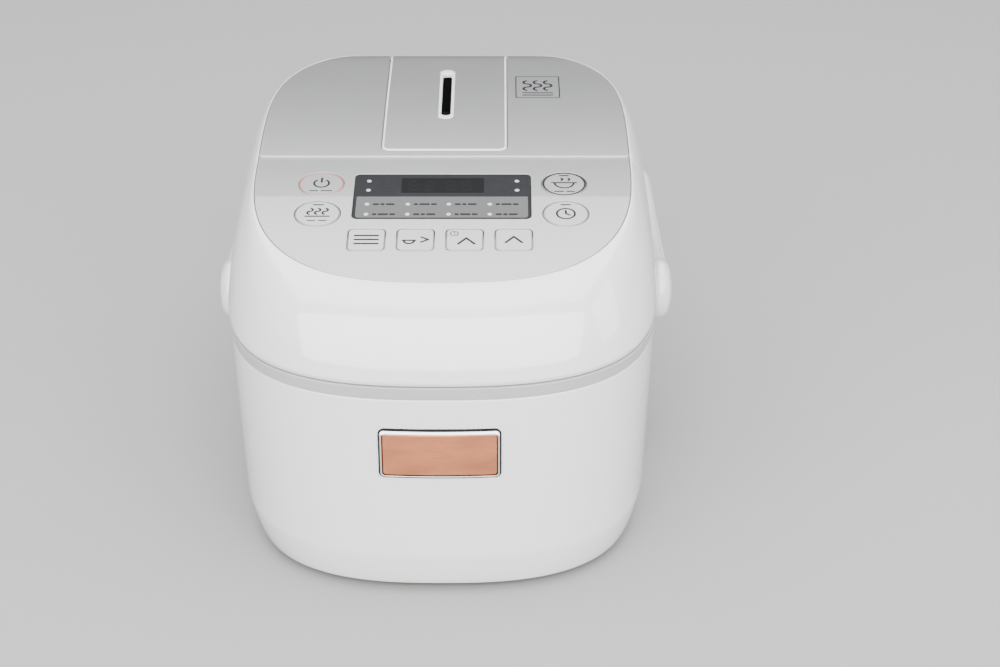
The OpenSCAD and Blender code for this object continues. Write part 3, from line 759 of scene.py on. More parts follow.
def panel_surface(p):
    return np.stack([p[:, 0], p[:, 1], panel_z(p[:, 1]) - p[:, 2]], 1)


def cover_surface(p):
    return np.stack([p[:, 0], p[:, 1], cover_z(p[:, 1]) - p[:, 2]], 1)


def key_surface(spot):
    """The panel's surface about a key, with its depth along the key's travel."""
    tilt = panel_tilt(spot[1])

    def surface(p):
        y = spot[1] + p[:, 1] * math.cos(tilt)
        return np.stack([
            spot[0] + p[:, 0], y + p[:, 2] * math.sin(tilt),
            panel_z(y) - p[:, 2] * math.cos(tilt)], 1)
    return surface


def bowed_front(front):
    """The gently bowed face of the button: a across, b up, depth inwards."""
    radius = 375.0

    def surface(p):
        y = -front + radius - np.sqrt(radius ** 2 - p[:, 0] ** 2)
        return np.stack([p[:, 0], y + p[:, 2], p[:, 1]], 1)
    return surface


def seam_plan(inset, half_w=HALF_W, half_d=HALF_D):
    """The seam's outline, further in or at another size."""
    x, y = round_plan(quadrants(0, 4, 6001)[:-1], half_w - inset, half_d - inset, half_d - inset)
    x, y = np.append(x, x[0]), np.append(y, y[0])
    lengths = lengths_along(x, y)
    at = np.linspace(0, lengths[-1], int(lengths[-1] / 3.0) + 1)[:-1]
    return np.stack([np.interp(at, lengths, x), np.interp(at, lengths, y)], 1)


def level_line(columns, height):
    return np.stack([columns, np.full(len(columns), height)], 1)


def top_half(wanted, inset=0.0):
    """Part of the silver top's outline, as an open line, where wanted(x, y) holds."""
    x, y = round_plan(quadrants(-1, 3, 24001)[:-1], TOP_HALF_W - inset, TOP_FRONT - inset,
                      TOP_BACK - inset, TOP_BOW, TOP_BOW)
    keep = wanted(x, y)
    x, y = x[keep], y[keep]
    lengths = lengths_along(x, y)
    gaps = np.nonzero(np.diff(lengths) > 5)[0]
    if len(gaps):
        x, y = np.roll(x, -gaps[0] - 1), np.roll(y, -gaps[0] - 1)
        lengths = lengths_along(x, y)
    at = np.linspace(0, lengths[-1], max(2, int(lengths[-1] / 2.0)))
    return np.stack([np.interp(at, lengths, x), np.interp(at, lengths, y)], 1)


def cover_rows(start, end, step):
    """Rows across the crowned cover, evenly spaced along its slope."""
    depth = np.linspace(start, end, 900)
    lengths = lengths_along(depth, cover_z(depth))
    return np.interp(np.arange(step / 2, lengths[-1], step), lengths, depth)


# ---- body ----

def body_shell():
    columns = np.linspace(0, AROUND, 321)
    top = WALL_LENGTHS[-1]
    low, high = wall_at(76.2), wall_at(105.8)
    window = rounded_rect(64, high - low, 3.2, along_at(-90), (high + low) / 2, 2.0)
    inlet_hole = rounded_rect(36.6, 44.6, 4.3, along_at(0) + INLET_Y, wall_at(INLET_Z), 2.5)
    part = Part()
    rows = np.concatenate([np.arange(1.2, 26, 1.3), np.arange(29, top - 1.5, 3.0)])
    plate(part, body_surface, (level_line(columns, 0.0), level_line(columns, top)), 2.4, 0.8,
          [window, inlet_hole], 0.5, step=2.6, rows=rows, period=AROUND)
    part.build("body_shell_skin", "white_gloss", "cooker_body", ["body_shell"])


def band_top_line(columns):
    """Height of the light band's top edge round the body, lower at the hinge."""
    x, y = round_plan(seam_angle(columns), HALF_W, HALF_D, HALF_D)
    fall = np.clip((72 - np.abs(x)) / 3, 0, 1) * (y > 0)
    fall = fall * fall * (3 - 2 * fall)
    return np.stack([columns, BAND_TOP - 2.1 * fall], 1)


def upper_frame():
    columns = np.linspace(0, AROUND, 401)
    part = Part()
    band = level_line(columns, BODY_TOP + 0.1), band_top_line(columns)
    plate(part, upright(0.9, 0.75), band, 4.3, 0.7, step=2.6, under=0.4, period=AROUND)
    skirt = level_line(columns, 114.0), level_line(columns, BODY_TOP + 0.6)
    plate(part, upright(4.0), skirt, 1.2, 0.3, step=3.0, period=AROUND)
    latch_slot = rounded_rect(14, 12.5, 1.5, 0, -126.2, 2.0)
    plate(part, flat((0, 0, DECK_TOP), depth=(0, 0, -1)), seam_plan(5.1), 2.6, 0.15,
          [circle(91.5, count=150), latch_slot], 0.9, step=6.0)
    lathe(part, tube(97.6, 99.4, 122.2, 122.9), radii=0.3, turns=144, count=4)
    for x, y in POSTS:
        lathe(part, tube(1.5, 5, 7.4, 119.9), (x, y, 0), turns=32)
    bore = circle(2.55, HINGE_Y, HINGE_Z, 32)
    profile = np.concatenate([
        [(133.5, 121.5), (140.7, 121.5)], arc(HINGE_Y, HINGE_Z, 6.6, -83, 180, 33)])
    for low, high in ((-42, -34.3), (-22.1, 22.1), (34.3, 42)):
        def tower(p, low=low):
            x = low + p[:, 2]
            limit = HALF_D * (1 - (np.abs(x) / HALF_W) ** 2.6) ** 0.25 - 0.2
            squeeze = np.minimum(1, (limit - HINGE_Y) / 6.6)
            y = np.where(p[:, 0] > HINGE_Y, HINGE_Y + (p[:, 0] - HINGE_Y) * squeeze, p[:, 0])
            return np.stack([x, y, p[:, 1]], 1)
        plate(part, tower, spaced(profile, 1.5), high - low, 0.6, [bore], 0.3, step=2.0)
    part.build("upper_frame_moulding", "frame_grey", "cooker_body", ["upper_frame"])


def base_cover():
    holes = [rounded_rect(3, 36, 1.4, i * 9, 0, 3.0) for i in range(-4, 5)]
    holes += [circle(3.2, x, y, 32) for x, y in POSTS]
    part = Part()
    plate(part, flat((0, 0, 5)), seam_plan(0, 105.4, 137.9), 2.4, 0.7, holes, 0.5, step=8.0)
    for s in (-1, 1):
        plate(part, flat((45.5 * s, 119, 7.3)), rounded_rect(3, 14, 0.8, step=2.0), 20.6, 0.4,
              step=0)
    for r in (30, 52):
        lathe(part, tube(r, r + 1.2, 4.75, 5.3), radii=0.25, turns=120, count=4)
    part.build("base_moulding", "base_dark", "cooker_body", ["base_cover"])


def feet():
    part = Part()
    for x in (-70, 70):
        for y in (-112, 112):
            lathe(part, [(0, 0), (6.2, 0), (6.2, 0.9), (7.2, 0.9), (7.2, 0), (9, 0), (9, 5),
                         (3, 5), (3, 9), (0, 9)],
                  (x, y, 0), radii=[0, 0.4, 0, 0, 0.4, 1.0, 0.4, 0, 0.4, 0], turns=64)
    part.build("rubber_feet", "foot_rubber", "cooker_body", ["feet"])


def screw(part, x, y, z, height):
    """A screw seen from below, with a cross recess in its head."""
    arm, half = 1.7, 0.42
    cross = rounded_corners(
        [(a * c - b * s, a * s + b * c) for c, s in ((1, 0), (0, 1), (-1, 0), (0, -1))
         for a, b in ((arm, half), (half, half), (half, arm))], 0.12, 3)
    plate(part, flat((x, y, z)), circle(2.95, count=40), 0.9, 0.4, [cross], 0.08, step=0)
    lathe(part, [(0, 0.9), (2.9, 0.9), (2.9, 1.1), (1.4, 1.3), (1.4, height), (0, height)],
          (x, y, z), turns=32)


def screws():
    part = Part()
    for x, y in POSTS:
        screw(part, x, y, 5.05, 11)
    part.build("base_screw_heads", "steel", "cooker_body", ["base_screws"])
    part = Part()
    for s in (-1, 1):
        for x, y in LID_SCREWS:
            screw(part, x * s, y, 128.25, 14)
    part.build("lid_screw_heads", "steel", "lid", ["lid_screws"])


def inlet():
    def face(x):
        return flat((x, INLET_Y, INLET_Z), (0, 1, 0), (0, 0, 1), (-1, 0, 0))
    part = Part()
    plate(part, face(117.6), rounded_rect(36, 44, 4, step=2.5), 17.6, 0.9,
          [rounded_rect(25, 29, 3, step=2.5)], 0.8, step=4.0)
    plate(part, face(100.2), rounded_rect(30, 36, 3), 2.5, 0.2, step=0)
    part.build("inlet_moulding", "white_gloss", "cooker_body", ["inlet_housing"])
    part = Part()
    for z in (INLET_Z - 6.5, INLET_Z + 6.5):
        lathe(part, tube(0, 2.3, 100, 110), (0, INLET_Y, z), "x", [0, 0, 1.4, 0], 40)
    part.build("inlet_contacts", "contact_metal", "cooker_body", ["inlet_pins"])


# ---- button ----

def button():
    part = Part()
    # A thin dark ring round the chrome bezel, in the dark ink finish: it is painted shadow of
    # the gap between the bezel and the body's opening.
    ring = rounded_rect(62, 28.2, 2.2, 0, (76.5 + 104.7) / 2, 2.0)
    plate(part, bowed_front(146.9), rounded_rect(63.6, 29.1, 2.9, 0, (76.4 + 105.6) / 2, 2.0),
          3.6, 0.12, [ring], 0.08, step=2.5, rounds=3)
    part.build("button_painted_shadow_ring", DARK_INK_AND_SHADE, "cooker_body")

    def bevelled(p):
        """Bowed like the button, with the strips above and below the opening leaning back."""
        lean = 0.55 * np.clip(p[:, 1] - 102.3, 0, 3) + 0.3 * np.clip(77.5 - p[:, 1], 0, 3)
        return bowed_front(147)(p + np.stack([0 * lean, 0 * lean, lean], 1))
    part = Part()
    opening = rounded_rect(60, 25.2, 1.9, 0, (77.3 + 102.5) / 2, 2.0)
    plate(part, bevelled, ring, 3.4, 0.35, [opening], 0.4, step=1.2, rounds=6)
    part.build("button_chrome", "chrome_trim", "cooker_body", ["button_bezel"])
    part = Part()
    plate(part, bowed_front(146.5), rounded_rect(59.2, 24.5, 1.6, 0, BUTTON_Z, 2.0), 3.0, 0.55,
          step=2.5)
    for y, w, d, r, thick, edge in ((-143.6, 12, 8, 0.8, 12.1, 0.4),
                                    (-132, 8, 3, 0.5, 3.4, 0.3)):
        plate(part, flat((0, y, BUTTON_Z), (1, 0, 0), (0, 0, 1), (0, 1, 0)),
              rounded_rect(w, d, r), thick, edge, step=0)
    part.build("button_copper_plate", "copper_plate", "release_button", ["open_button"])
    part = Part()
    front, back, travel = -142.7, -134.6, 3.0
    for x in (-20, 20):
        helix(part, 3.1, 0.45, front, back, 6, "y", (x, 0, BUTTON_Z))
    coils = part.build("button_coils", "steel", "cooker_body", ["button_springs"])
    shorten(coils)


# ---- handle ----

def handle_surface():
    """The bail laid out flat: a along it from one pivot to the other, b its height."""
    corner_x, corner_r, thick = 82.0, 45.0, 9.3
    corner_y = HANDLE_BACK - corner_r
    sides = []
    for x, r in ((129.8, corner_r), (119.2, corner_r - thick)):
        line = [(x, PIVOT_Y - BAIL_END), (x, PIVOT_Y), (corner_x + r, corner_y)]
        for degree in range(2, 91, 2):
            t = math.radians(degree)
            line.append((corner_x + r * math.cos(t), corner_y + r * math.sin(t)))
        sides.append(np.array(line + [(-x, y) for x, y in line[::-1]]))
    outer, inner = sides
    lengths = lengths_along(*((outer + inner) / 2).T)

    def surface(p):
        near = np.stack([np.interp(p[:, 0], lengths, outer[:, k]) for k in (0, 1)], 1)
        far = np.stack([np.interp(p[:, 0], lengths, inner[:, k]) for k in (0, 1)], 1)
        end = np.minimum(p[:, 0], lengths[-1] - p[:, 0]) - BAIL_END
        spread = (end ** 2 + p[:, 1] ** 2) / BOSS_R ** 2
        along = np.minimum(spread, 1) * 0.5 + p[:, 1] ** 2 / BOSS_R ** 2 / 2
        dome = np.where(end < 0, spread, along)
        share = p[:, 2] / thick
        share = share + 0.34 * np.minimum(dome, 1.2) * (1 - share)
        place = near + (far - near) * share[:, None]
        return np.stack([place[:, 0], place[:, 1], PIVOT_Z + p[:, 1]], 1)
    return surface, lengths[-1], thick


def handle():
    surface, total, thick = handle_surface()
    join = 13.6
    side = [(BAIL_END + math.sqrt(BOSS_R ** 2 - join ** 2), join), (BAIL_END + 27, 11.6),
            (BAIL_END + 48, 9.5), (BAIL_END + 70, 8.6), (BAIL_END + 95, 8.5)]
    smooth = []
    for a, b in zip(side, side[1:]):
        smooth += [(a[0] + (b[0] - a[0]) * t, a[1] + (b[1] - a[1]) * t)
                   for t in np.linspace(0, 1, 8)[:-1]]
    smooth.append(side[-1])
    smooth = np.array(smooth)
    for _ in range(12):
        smooth[1:-1, 1] = (smooth[:-2, 1] + smooth[2:, 1]) / 2
    start = math.degrees(math.atan2(join, side[0][0] - BAIL_END))
    boss = arc(BAIL_END, 0, BOSS_R, start, 360 - start, 41)
    left = np.concatenate([smooth[::-1], boss, smooth * [1, -1]])
    right = left[::-1] * [-1, 1] + [total, 0]
    part = Part()
    plate(part, surface, spaced(np.concatenate([left, right]), 2.5), thick, 4.3, step=2.4,
          under=3.6, rounds=9)
    part.build("handle_bail", "white_gloss", "handle", ["handle"])


def handle_pivots():
    part = Part()
    for s in (-1, 1):
        for inner, outer, start, end, radii, turns in (
                (0, 6, 110, 126.9, [0, 0, 0.8, 0], 48),
                (5, 12.5, 116.1, 118.9, 0.7, 72),
                (5, 10, 109.6, 112.6, 0.4, 48)):
            lathe(part, tube(inner, outer, start * s, end * s), (0, PIVOT_Y, PIVOT_Z), "x",
                  radii, turns)
    part.build("handle_studs", "frame_grey", "cooker_body", ["handle_pivots"])


# ---- pot ----

def pot():
    outer, inner, bend = 88.0, 85.6, 20.0

    def bottom_corner(r, floor):
        return [(r - bend + bend * math.sin(t), floor + bend - bend * math.cos(t))
                for t in np.radians(range(0, 91, 6))]
    profile = [(0.0, 34.0), *bottom_corner(outer, 34), (outer, 122.5), (94, 122.5),
               (94, 124.5), (inner, 124.5), *bottom_corner(inner, 37)[::-1], (0.0, 37.0)]
    radii = np.zeros(len(profile))
    rim = profile.index((94, 122.5))
    radii[rim - 1:rim + 3] = [0.5, 0.9, 0.9, 1.6]
    part = Part()
    lathe(part, profile, radii=radii, turns=144)
    bowl = part.build("pot_bowl", "pot_coating", "cooker_body", ["inner_pot"])
    bowl.data.materials.append(POT_OUTSIDE)
    for face in bowl.data.polygons:
        x, y, z = face.center / MM
        r = math.hypot(x, y - BODY_Y)
        if z < 36.5 or r > 86.9 and z < 122.6:
            face.material_index = 1
    part = Part()
    for group in (0, 1):
        for k in range(7):
            half = 7.5 if k % 2 == 0 else 4.5

            def wall(p, group=group):
                turn = math.radians(90 + group * 180) + p[:, 0] / inner
                r = inner - 0.12 + p[:, 2]
                return np.stack([r * np.cos(turn), r * np.sin(turn), p[:, 1]], 1)
            mark = rounded_rect(2 * half, 0.8, 0.35, 0, 66 + 6.5 * k, 1.5, 4)
            printed(part, wall, mark, 0.14, edge=0.03)
    part.build("pot_level_marks", POT_MARK, "cooker_body")


def hidden_springs():
    part = Part()
    low, high, travel = 16.1, 28.9, 2.0
    helix(part, 7.0, 0.55, low, high, 5)
    coil = part.build("sensor_coil", "steel", "cooker_body", ["sensor_spring"])
    shorten(coil)
    part = Part()
    helix(part, 4.1, 0.8, -15.5, 15.5, 13, "x", (0, HINGE_Y, HINGE_Z))
    part.build("hinge_coil", "steel", "cooker_body", ["hinge_springs"])


# ---- lid ----

def lid_shell():
    columns = np.linspace(0, AROUND, 361)
    middle = along_at(90)
    notch_top = float(np.interp((145.2 - SEAM_Z) / LID_WALL, LID_RISE, LID_LENGTHS))
    step_top = float(np.interp(1.4 / LID_WALL, LID_RISE, LID_LENGTHS))
    left = columns[columns < middle - 70.6]
    right = columns[columns > middle + 70.6]
    notch_side = middle - 43.3
    corner = arc(notch_side + 3, notch_top - 3, 3, 180, 90, 7)
    half = [(middle - 70.4, 0.0), (middle - 69.6, step_top), (notch_side - 0.7, step_top),
            (notch_side, step_top + 0.8), *corner]
    mirrored = [(2 * middle - a, b) for a, b in half[::-1]]
    line = [*level_line(left, 0.0), *half, *mirrored, *level_line(right, 0.0)]
    lower = spaced(np.array(line), 2.6, closed=False)
    part = Part()
    plate(part, lid_surface, (lower, level_line(columns, LID_TALL)), 2.6, 0.45, step=2.2,
          under=0.3, period=AROUND)
    part.build("lid_skin", "white_gloss", "lid", ["lid_shell"])


def control_panel():
    curve = top_half(lambda x, y: y < CREASE_Y)
    curve[0, 1] = curve[-1, 1] = CREASE_Y - 0.05
    holes = [circle(12.45) * [1, math.cos(panel_tilt(y))] + [x, y]
             for x, y in ROUND_KEYS.values()]
    holes += [rounded_rect(20.15, 20.15 * math.cos(panel_tilt(y)), 3.3, x, y, 2.0)
              for x, y in SMALL_KEYS.values()]
    holes.append(rounded_rect(95.6, 44.8, 3.2, 0, WINDOW_Y, 2.0))
    part = Part()
    plate(part, panel_surface, spaced(curve, 2.6), 2.6, 0.3, holes, 0.22, step=2.4, rounds=4)
    for s in (-1, 1):
        for x, y in ((50.5, -38.8), (55, -77)):
            lathe(part, tube(0, 2.1, 0, 6.4), (x * s, y, panel_z(y) - 8.1), turns=24)
    part.build("panel_film", "silver_panel", "lid", ["control_panel"])


def top_cover():
    curve = top_half(lambda x, y: (y > CREASE_Y) & (np.abs(x) > CAP_SIDE))
    jump = int(np.argmax(np.abs(np.diff(curve[:, 0]))))
    right, left = curve[:jump + 1], curve[jump + 1:]
    if right[0, 0] < 0:
        right, left = left, right
    right = right if right[0, 1] < right[-1, 1] else right[::-1]
    left = left if left[0, 1] > left[-1, 1] else left[::-1]
    right[0, 1] = left[-1, 1] = CREASE_Y + 0.1
    right[-1, 0], left[0, 0] = CAP_SIDE, -CAP_SIDE
    notch_r = 4.9
    notch_y = CAP_FRONT - 0.4 + notch_r
    notch = [*arc(CAP_CORNER, notch_y, notch_r, 0, -90, 8),
             *arc(-CAP_CORNER, notch_y, notch_r, -90, -180, 8)]
    outline = spaced(np.concatenate([right, notch, left]), 2.4)
    part = Part()
    plate(part, cover_surface, outline, 2.6, 0.42, step=2.4,
          rows=cover_rows(CREASE_Y, TOP_BACK + 0.5, 2.4))
    part.build("cover_film", "silver_panel", "lid", ["top_cover"])


def display():
    part = Part()
    plate(part, deeper(panel_surface, 0.12), rounded_rect(95.2, 44.3, 3.0, 0, WINDOW_Y, 2.0),
          1.6, 0.2, step=3.0)
    part.build("window_glass", "smoked_window", "lid", ["display_window"])
    on_glass = deeper(panel_surface, 0.06)
    part = Part()
    printed(part, on_glass, rounded_rect(94.9, 44.0, 2.9, 0, WINDOW_Y, 2.0),
            holes=[rounded_rect(91.9, 42.0, 2.1, 0, WINDOW_Y, 2.0)])
    for column, x in enumerate(INDICATOR_COLUMNS):
        for row, y in enumerate(INDICATOR_ROWS):
            widths = (2.2, 5.4, 3.0) if (row + column) % 2 else (3.2, 2.2, 4.6)
            printed_words(part, on_glass, x + 3.2, y, widths)
    for y in SIDE_ROWS:
        printed_words(part, on_glass, -36.6, y, (2.4, 4.2, 2.0))
        printed_words(part, on_glass, 27.4, y, (3.2, 4.4))
    part.build("window_print", DARK_INK_AND_SHADE, "lid")
    part = Part()
    lights = [(x, y) for x in INDICATOR_COLUMNS for y in INDICATOR_ROWS]
    lights += [(x, y) for x in (-40, 40.2) for y in SIDE_ROWS]
    for x, y in lights:
        plate(part, on_glass, circle(1.25, x, y, 28), 0.08, 0.03, step=0, rounds=3)
    part.build("indicator_lights", "light_guide", "lid")
    part = Part()
    plate(part, on_glass, rounded_rect(44.6, 15.4, 0.9, 0, LCD_Y, 2.0), 0.08, 0.02, step=4.0,
          rounds=2)
    part.build("lcd_glass", "lcd_grey", "lid")
    on_lcd = deeper(panel_surface, 0.04)
    long, wide = 3.4, 0.75
    bars = [(0, y, long, wide) for y in (4.3, 0, -4.3)]
    bars += [(x, y, wide, 3.2) for y in (2.2, -2.2) for x in (-2.3, 2.3)]
    part = Part()
    for centre in (-15.5, -7.2, 4.2, 12.5):
        for x, y, w, d in bars:
            segment = rounded_rect(w, d, 0.3, centre + x, LCD_Y + y, 3.0, 3)
            printed(part, on_lcd, segment, 0.03, edge=0.01)
    for y in (-28, -23.6):
        printed(part, on_lcd, circle(0.5, -1.5, y, 16), 0.03, edge=0.01)
    part.build("lcd_segments", LCD_INK, "lid")


def printed_words(part, surface, x, y, widths):
    """Short plain dashes where the original has its labels."""
    for w in widths:
        printed(part, surface, rounded_rect(w, 1.5, 0.3, x + w / 2, y, 3.0, 3))
        x += w + 0.8


def bar(x0, y0, x1, y1, width):
    """A stroke with round ends."""
    turn = math.degrees(math.atan2(y1 - y0, x1 - x0))
    return np.concatenate([arc(x1, y1, width / 2, turn - 90, turn + 90, 6),
                           arc(x0, y0, width / 2, turn + 90, turn + 270, 6)])


def bend(x, y, r, start, end, width):
    """A stroke along an arc."""
    count = max(4, int(abs(end - start) / 10))
    return np.concatenate([arc(x, y, r + width / 2, start, end, count),
                           arc(x, y, r - width / 2, end, start, count)])


STROKE = 1.05
WAVES = [stroke for x in (-3.6, 0, 3.6) for stroke in (
    bend(x, 3.2, 1.25, -90, 90, STROKE), bend(x, 0.7, 1.25, 90, 270, STROKE))]
ICONS = {
    "key_cancel": [
        bend(0, 0.6, 3.6, 125, 415, STROKE), bar(0, 1.6, 0, 5.4, STROKE),
        bar(-5.2, -6.2, -1.6, -6.2, 0.8), bar(0.2, -6.2, 5.2, -6.2, 0.8)],
    "key_keep_warm": [
        *WAVES, bar(-5.6, -2.2, 5.6, -2.2, STROKE), bar(-4.4, -5.8, -1, -5.8, 0.8),
        bar(1, -5.8, 4.4, -5.8, 0.8), bar(-2.2, 7.6, 2.2, 7.6, 1.0)],
    "key_cook": [
        bend(0, 0.9, 4.6, 180, 360, 1.0), bar(-5.9, 1.1, 5.9, 1.1, 1.0),
        bend(-1.7, 4.2, 1.0, -90, 90, STROKE), bend(1.7, 4.2, 1.0, -90, 90, STROKE),
        bar(-4.6, -6.8, -0.6, -6.8, 0.9), bar(1.2, -6.8, 4.6, -6.8, 0.9),
        bar(-2.0, 7.7, 2.0, 7.7, 1.0)],
    "key_timer": [
        bend(0, 0, 4.3, 90, 450, STROKE), bar(0, 0, 0, 2.6, STROKE),
        bar(0, 0, 1.9, -1.2, STROKE), bar(-2.0, 7.6, 2.0, 7.6, 1.0)],
    "key_menu": [bar(-5.4, y, 5.4, y, 1.2) for y in (-3.2, 0, 3.2)],
    "key_course": [
        bend(-3.0, -0.8, 2.4, 180, 360, STROKE), bar(-6.0, -0.6, 0.0, -0.6, STROKE),
        bar(2.6, 2.0, 6.0, 0, STROKE), bar(6.0, 0, 2.6, -2.0, STROKE)],
    "key_hour": [
        bend(-4.9, 4.8, 1.8, 90, 450, 0.5), bar(-4.9, 4.8, -4.9, 5.8, 0.45),
        bar(-4.9, 4.8, -4.2, 4.5, 0.45), bar(-3.0, -3.4, 0.8, 1.2, 1.2),
        bar(0.8, 1.2, 4.6, -3.4, 1.2)],
    "key_minute": [bar(-3.8, -2.3, 0, 2.3, 1.2), bar(0, 2.3, 3.8, -2.3, 1.2)],
}
RING_WIDTHS = {"key_cancel": 0.65, "key_keep_warm": 0.5, "key_cook": 1.15, "key_timer": 0.5}
RING_INKS = {"key_cancel": INK_PINK, "key_cook": DARK_INK_AND_SHADE}


def keys():
    for name, spot in {**ROUND_KEYS, **SMALL_KEYS}.items():
        surface = key_surface(spot)
        print_surface = deeper(surface, -0.03)
        if name in ROUND_KEYS:
            cap, lip = circle(12.1, count=72), circle(13.5, count=72)
            ring = circle(11.85, count=96)
            ring_hole = circle(11.85 - RING_WIDTHS[name], count=96)
        else:
            cap, lip = rounded_rect(19.4, 19.4, 3.0, step=2.0), rounded_rect(22.2, 20.2, 3.0)
            ring = rounded_rect(19.0, 19.0, 2.85, step=2.0)
            ring_hole = rounded_rect(18.25, 18.25, 2.5, step=2.0)
        part = Part()
        plate(part, surface, cap, 3.3, 0.28, step=2.6, under=0.1)
        plate(part, deeper(surface, 3.1), lip, 0.65, 0.2, step=0)
        plate(part, deeper(surface, 3.7), circle(1.75, count=24), 1.85, 0.2, step=0)
        part.build(name + "_cap", "silver_panel", name, [name])
        part = Part()
        printed(part, print_surface, ring, 0.07, [ring_hole])
        part.build(name + "_ring", RING_INKS.get(name, INK_GREY), name)
        part = Part()
        for stroke in ICONS[name]:
            printed(part, print_surface, stroke * 1.12, 0.07)
        part.build(name + "_icon", DARK_INK_AND_SHADE, name)


def steam_warning():
    """A plain pictogram of rising steam beside the steam cap."""
    x, y = 53.0, 88.0
    strokes = [bend(x + side, y - 2.5 + 4.4 * k, 2.2, *turn, 1.5) for side in (-6, 0, 6)
               for k, turn in enumerate(((90, 270), (-90, 90), (90, 270)))]
    strokes += [bar(x - 8.5, y + low, x + 8.5, y + low, 1.2) for low in (-8.2, -11.2)]
    on_cover = deeper(cover_surface, -0.02)
    part = Part()
    printed(part, on_cover, rounded_rect(26, 30, 1.2, x, y, 3.0), 0.06,
            [rounded_rect(24.6, 28.6, 0.8, x, y, 3.0)])
    for stroke in strokes:
        printed(part, on_cover, stroke, 0.06)
    part.build("steam_pictogram", DARK_INK_AND_SHADE, "lid")


def cut_at_hinge(plan):
    """The same outline, straight in front of the hinge's towers."""
    plan[(plan[:, 1] > 131.5) & (np.abs(plan[:, 0]) < 44.5), 1] = 131.5
    return plan


def lid_inner_moulding():
    part = Part()
    plate(part, flat((0, 0, 129.4)), cut_at_hinge(seam_plan(8.5)), 2.5, 0.9,
          [circle(7.6, 0, STEAM_Y, 48)], 0.5, step=6.0)
    plate(part, flat((0, 0, 131.8)), cut_at_hinge(seam_plan(3.2)), 2.0, 0.4,
          [circle(60, count=90)], step=6.0)
    lathe(part, tube(93.4, 96, 125.8, 129.6), radii=[0.5, 0.5, 0, 0], turns=144)
    lathe(part, tube(104, 105.4, 129.0, 129.6), radii=[0.25, 0.25, 0, 0], turns=144)
    arm = spaced(rounded_corners(
        [(116, 132), (133, 132), (137.5, 132.6), (141, 131.4), (146.2, 135.5),
         (146.2, 140.5), (142, 144.6), (136, 144), (130, 141), (116, 137)],
        [0.3, 3, 3, 5, 5, 5, 5, 5, 4, 0.3]), 1.5)
    for s in (-1, 1):
        for x, y in LID_SCREWS:
            lathe(part, tube(1.5, 4, 133.7, float(edge_z(y)) - 4), (x * s, y, 0), turns=32)
            lathe(part, tube(3.2, 5.4, 128.9, 129.6), (x * s, y, 0), radii=[0.3, 0.3, 0, 0],
                  turns=40)
        plate(part, flat((22.4 * s, 0, 0), (0, 1, 0), (0, 0, 1), (s, 0, 0)), arm, 11.6, 0.6,
              [circle(2.6, HINGE_Y, HINGE_Z, 32)], 0.3, step=2.5)
    part.build("lid_inner_moulding", "inner_plastic", "lid", ["lid_base"])


def pressed_disc(p):
    """The inner lid's face, with two round ribs that fade out at the steam holes."""
    r = np.hypot(p[:, 0], p[:, 1])
    relief = 0.0
    for ring, height, width in ((72, 1.0, 3.0), (40, 0.7, 2.4)):
        relief = relief + height * np.exp(-((r - ring) / width) ** 2)
    relief = relief * np.clip((np.hypot(p[:, 0], p[:, 1] - STEAM_Y) - 10) / 6, 0, 1)
    return np.stack([p[:, 0], p[:, 1], 126.2 + relief * 0.9 + p[:, 2]], 1)


def inner_lid():
    part = Part()
    holes = [circle(1.8, 0, STEAM_Y, 24)]
    for a in np.radians(range(0, 360, 72)):
        holes.append(circle(1.8, 5 * math.cos(a), STEAM_Y + 5 * math.sin(a), 24))
    plate(part, pressed_disc, circle(92.2, count=180), 0.8, 0.35, holes, 0.25, step=2.6)
    for a in np.radians((248, 292)):
        lathe(part, tube(0, 4, 124.6, 126.4), (80 * math.cos(a), 80 * math.sin(a), 0),
              radii=[0, 0.7, 0, 0], turns=40)
    part.build("inner_lid_disc", "lid_aluminium", "lid", ["inner_lid"])
    part = Part()
    lathe(part, [(86, 126.1), (92.8, 126.1), (92.8, 124.9), (91.4, 124.8), (90, 125.4),
                 (88, 125.4), (86.4, 124.9)], radii=[0.2, 0.2, 0.3, 0.5, 0.5, 0.5, 0.3],
          turns=160)
    part.build("gasket_ring", "silicone", "lid", ["lid_gasket"])


# ---- steam cap ----

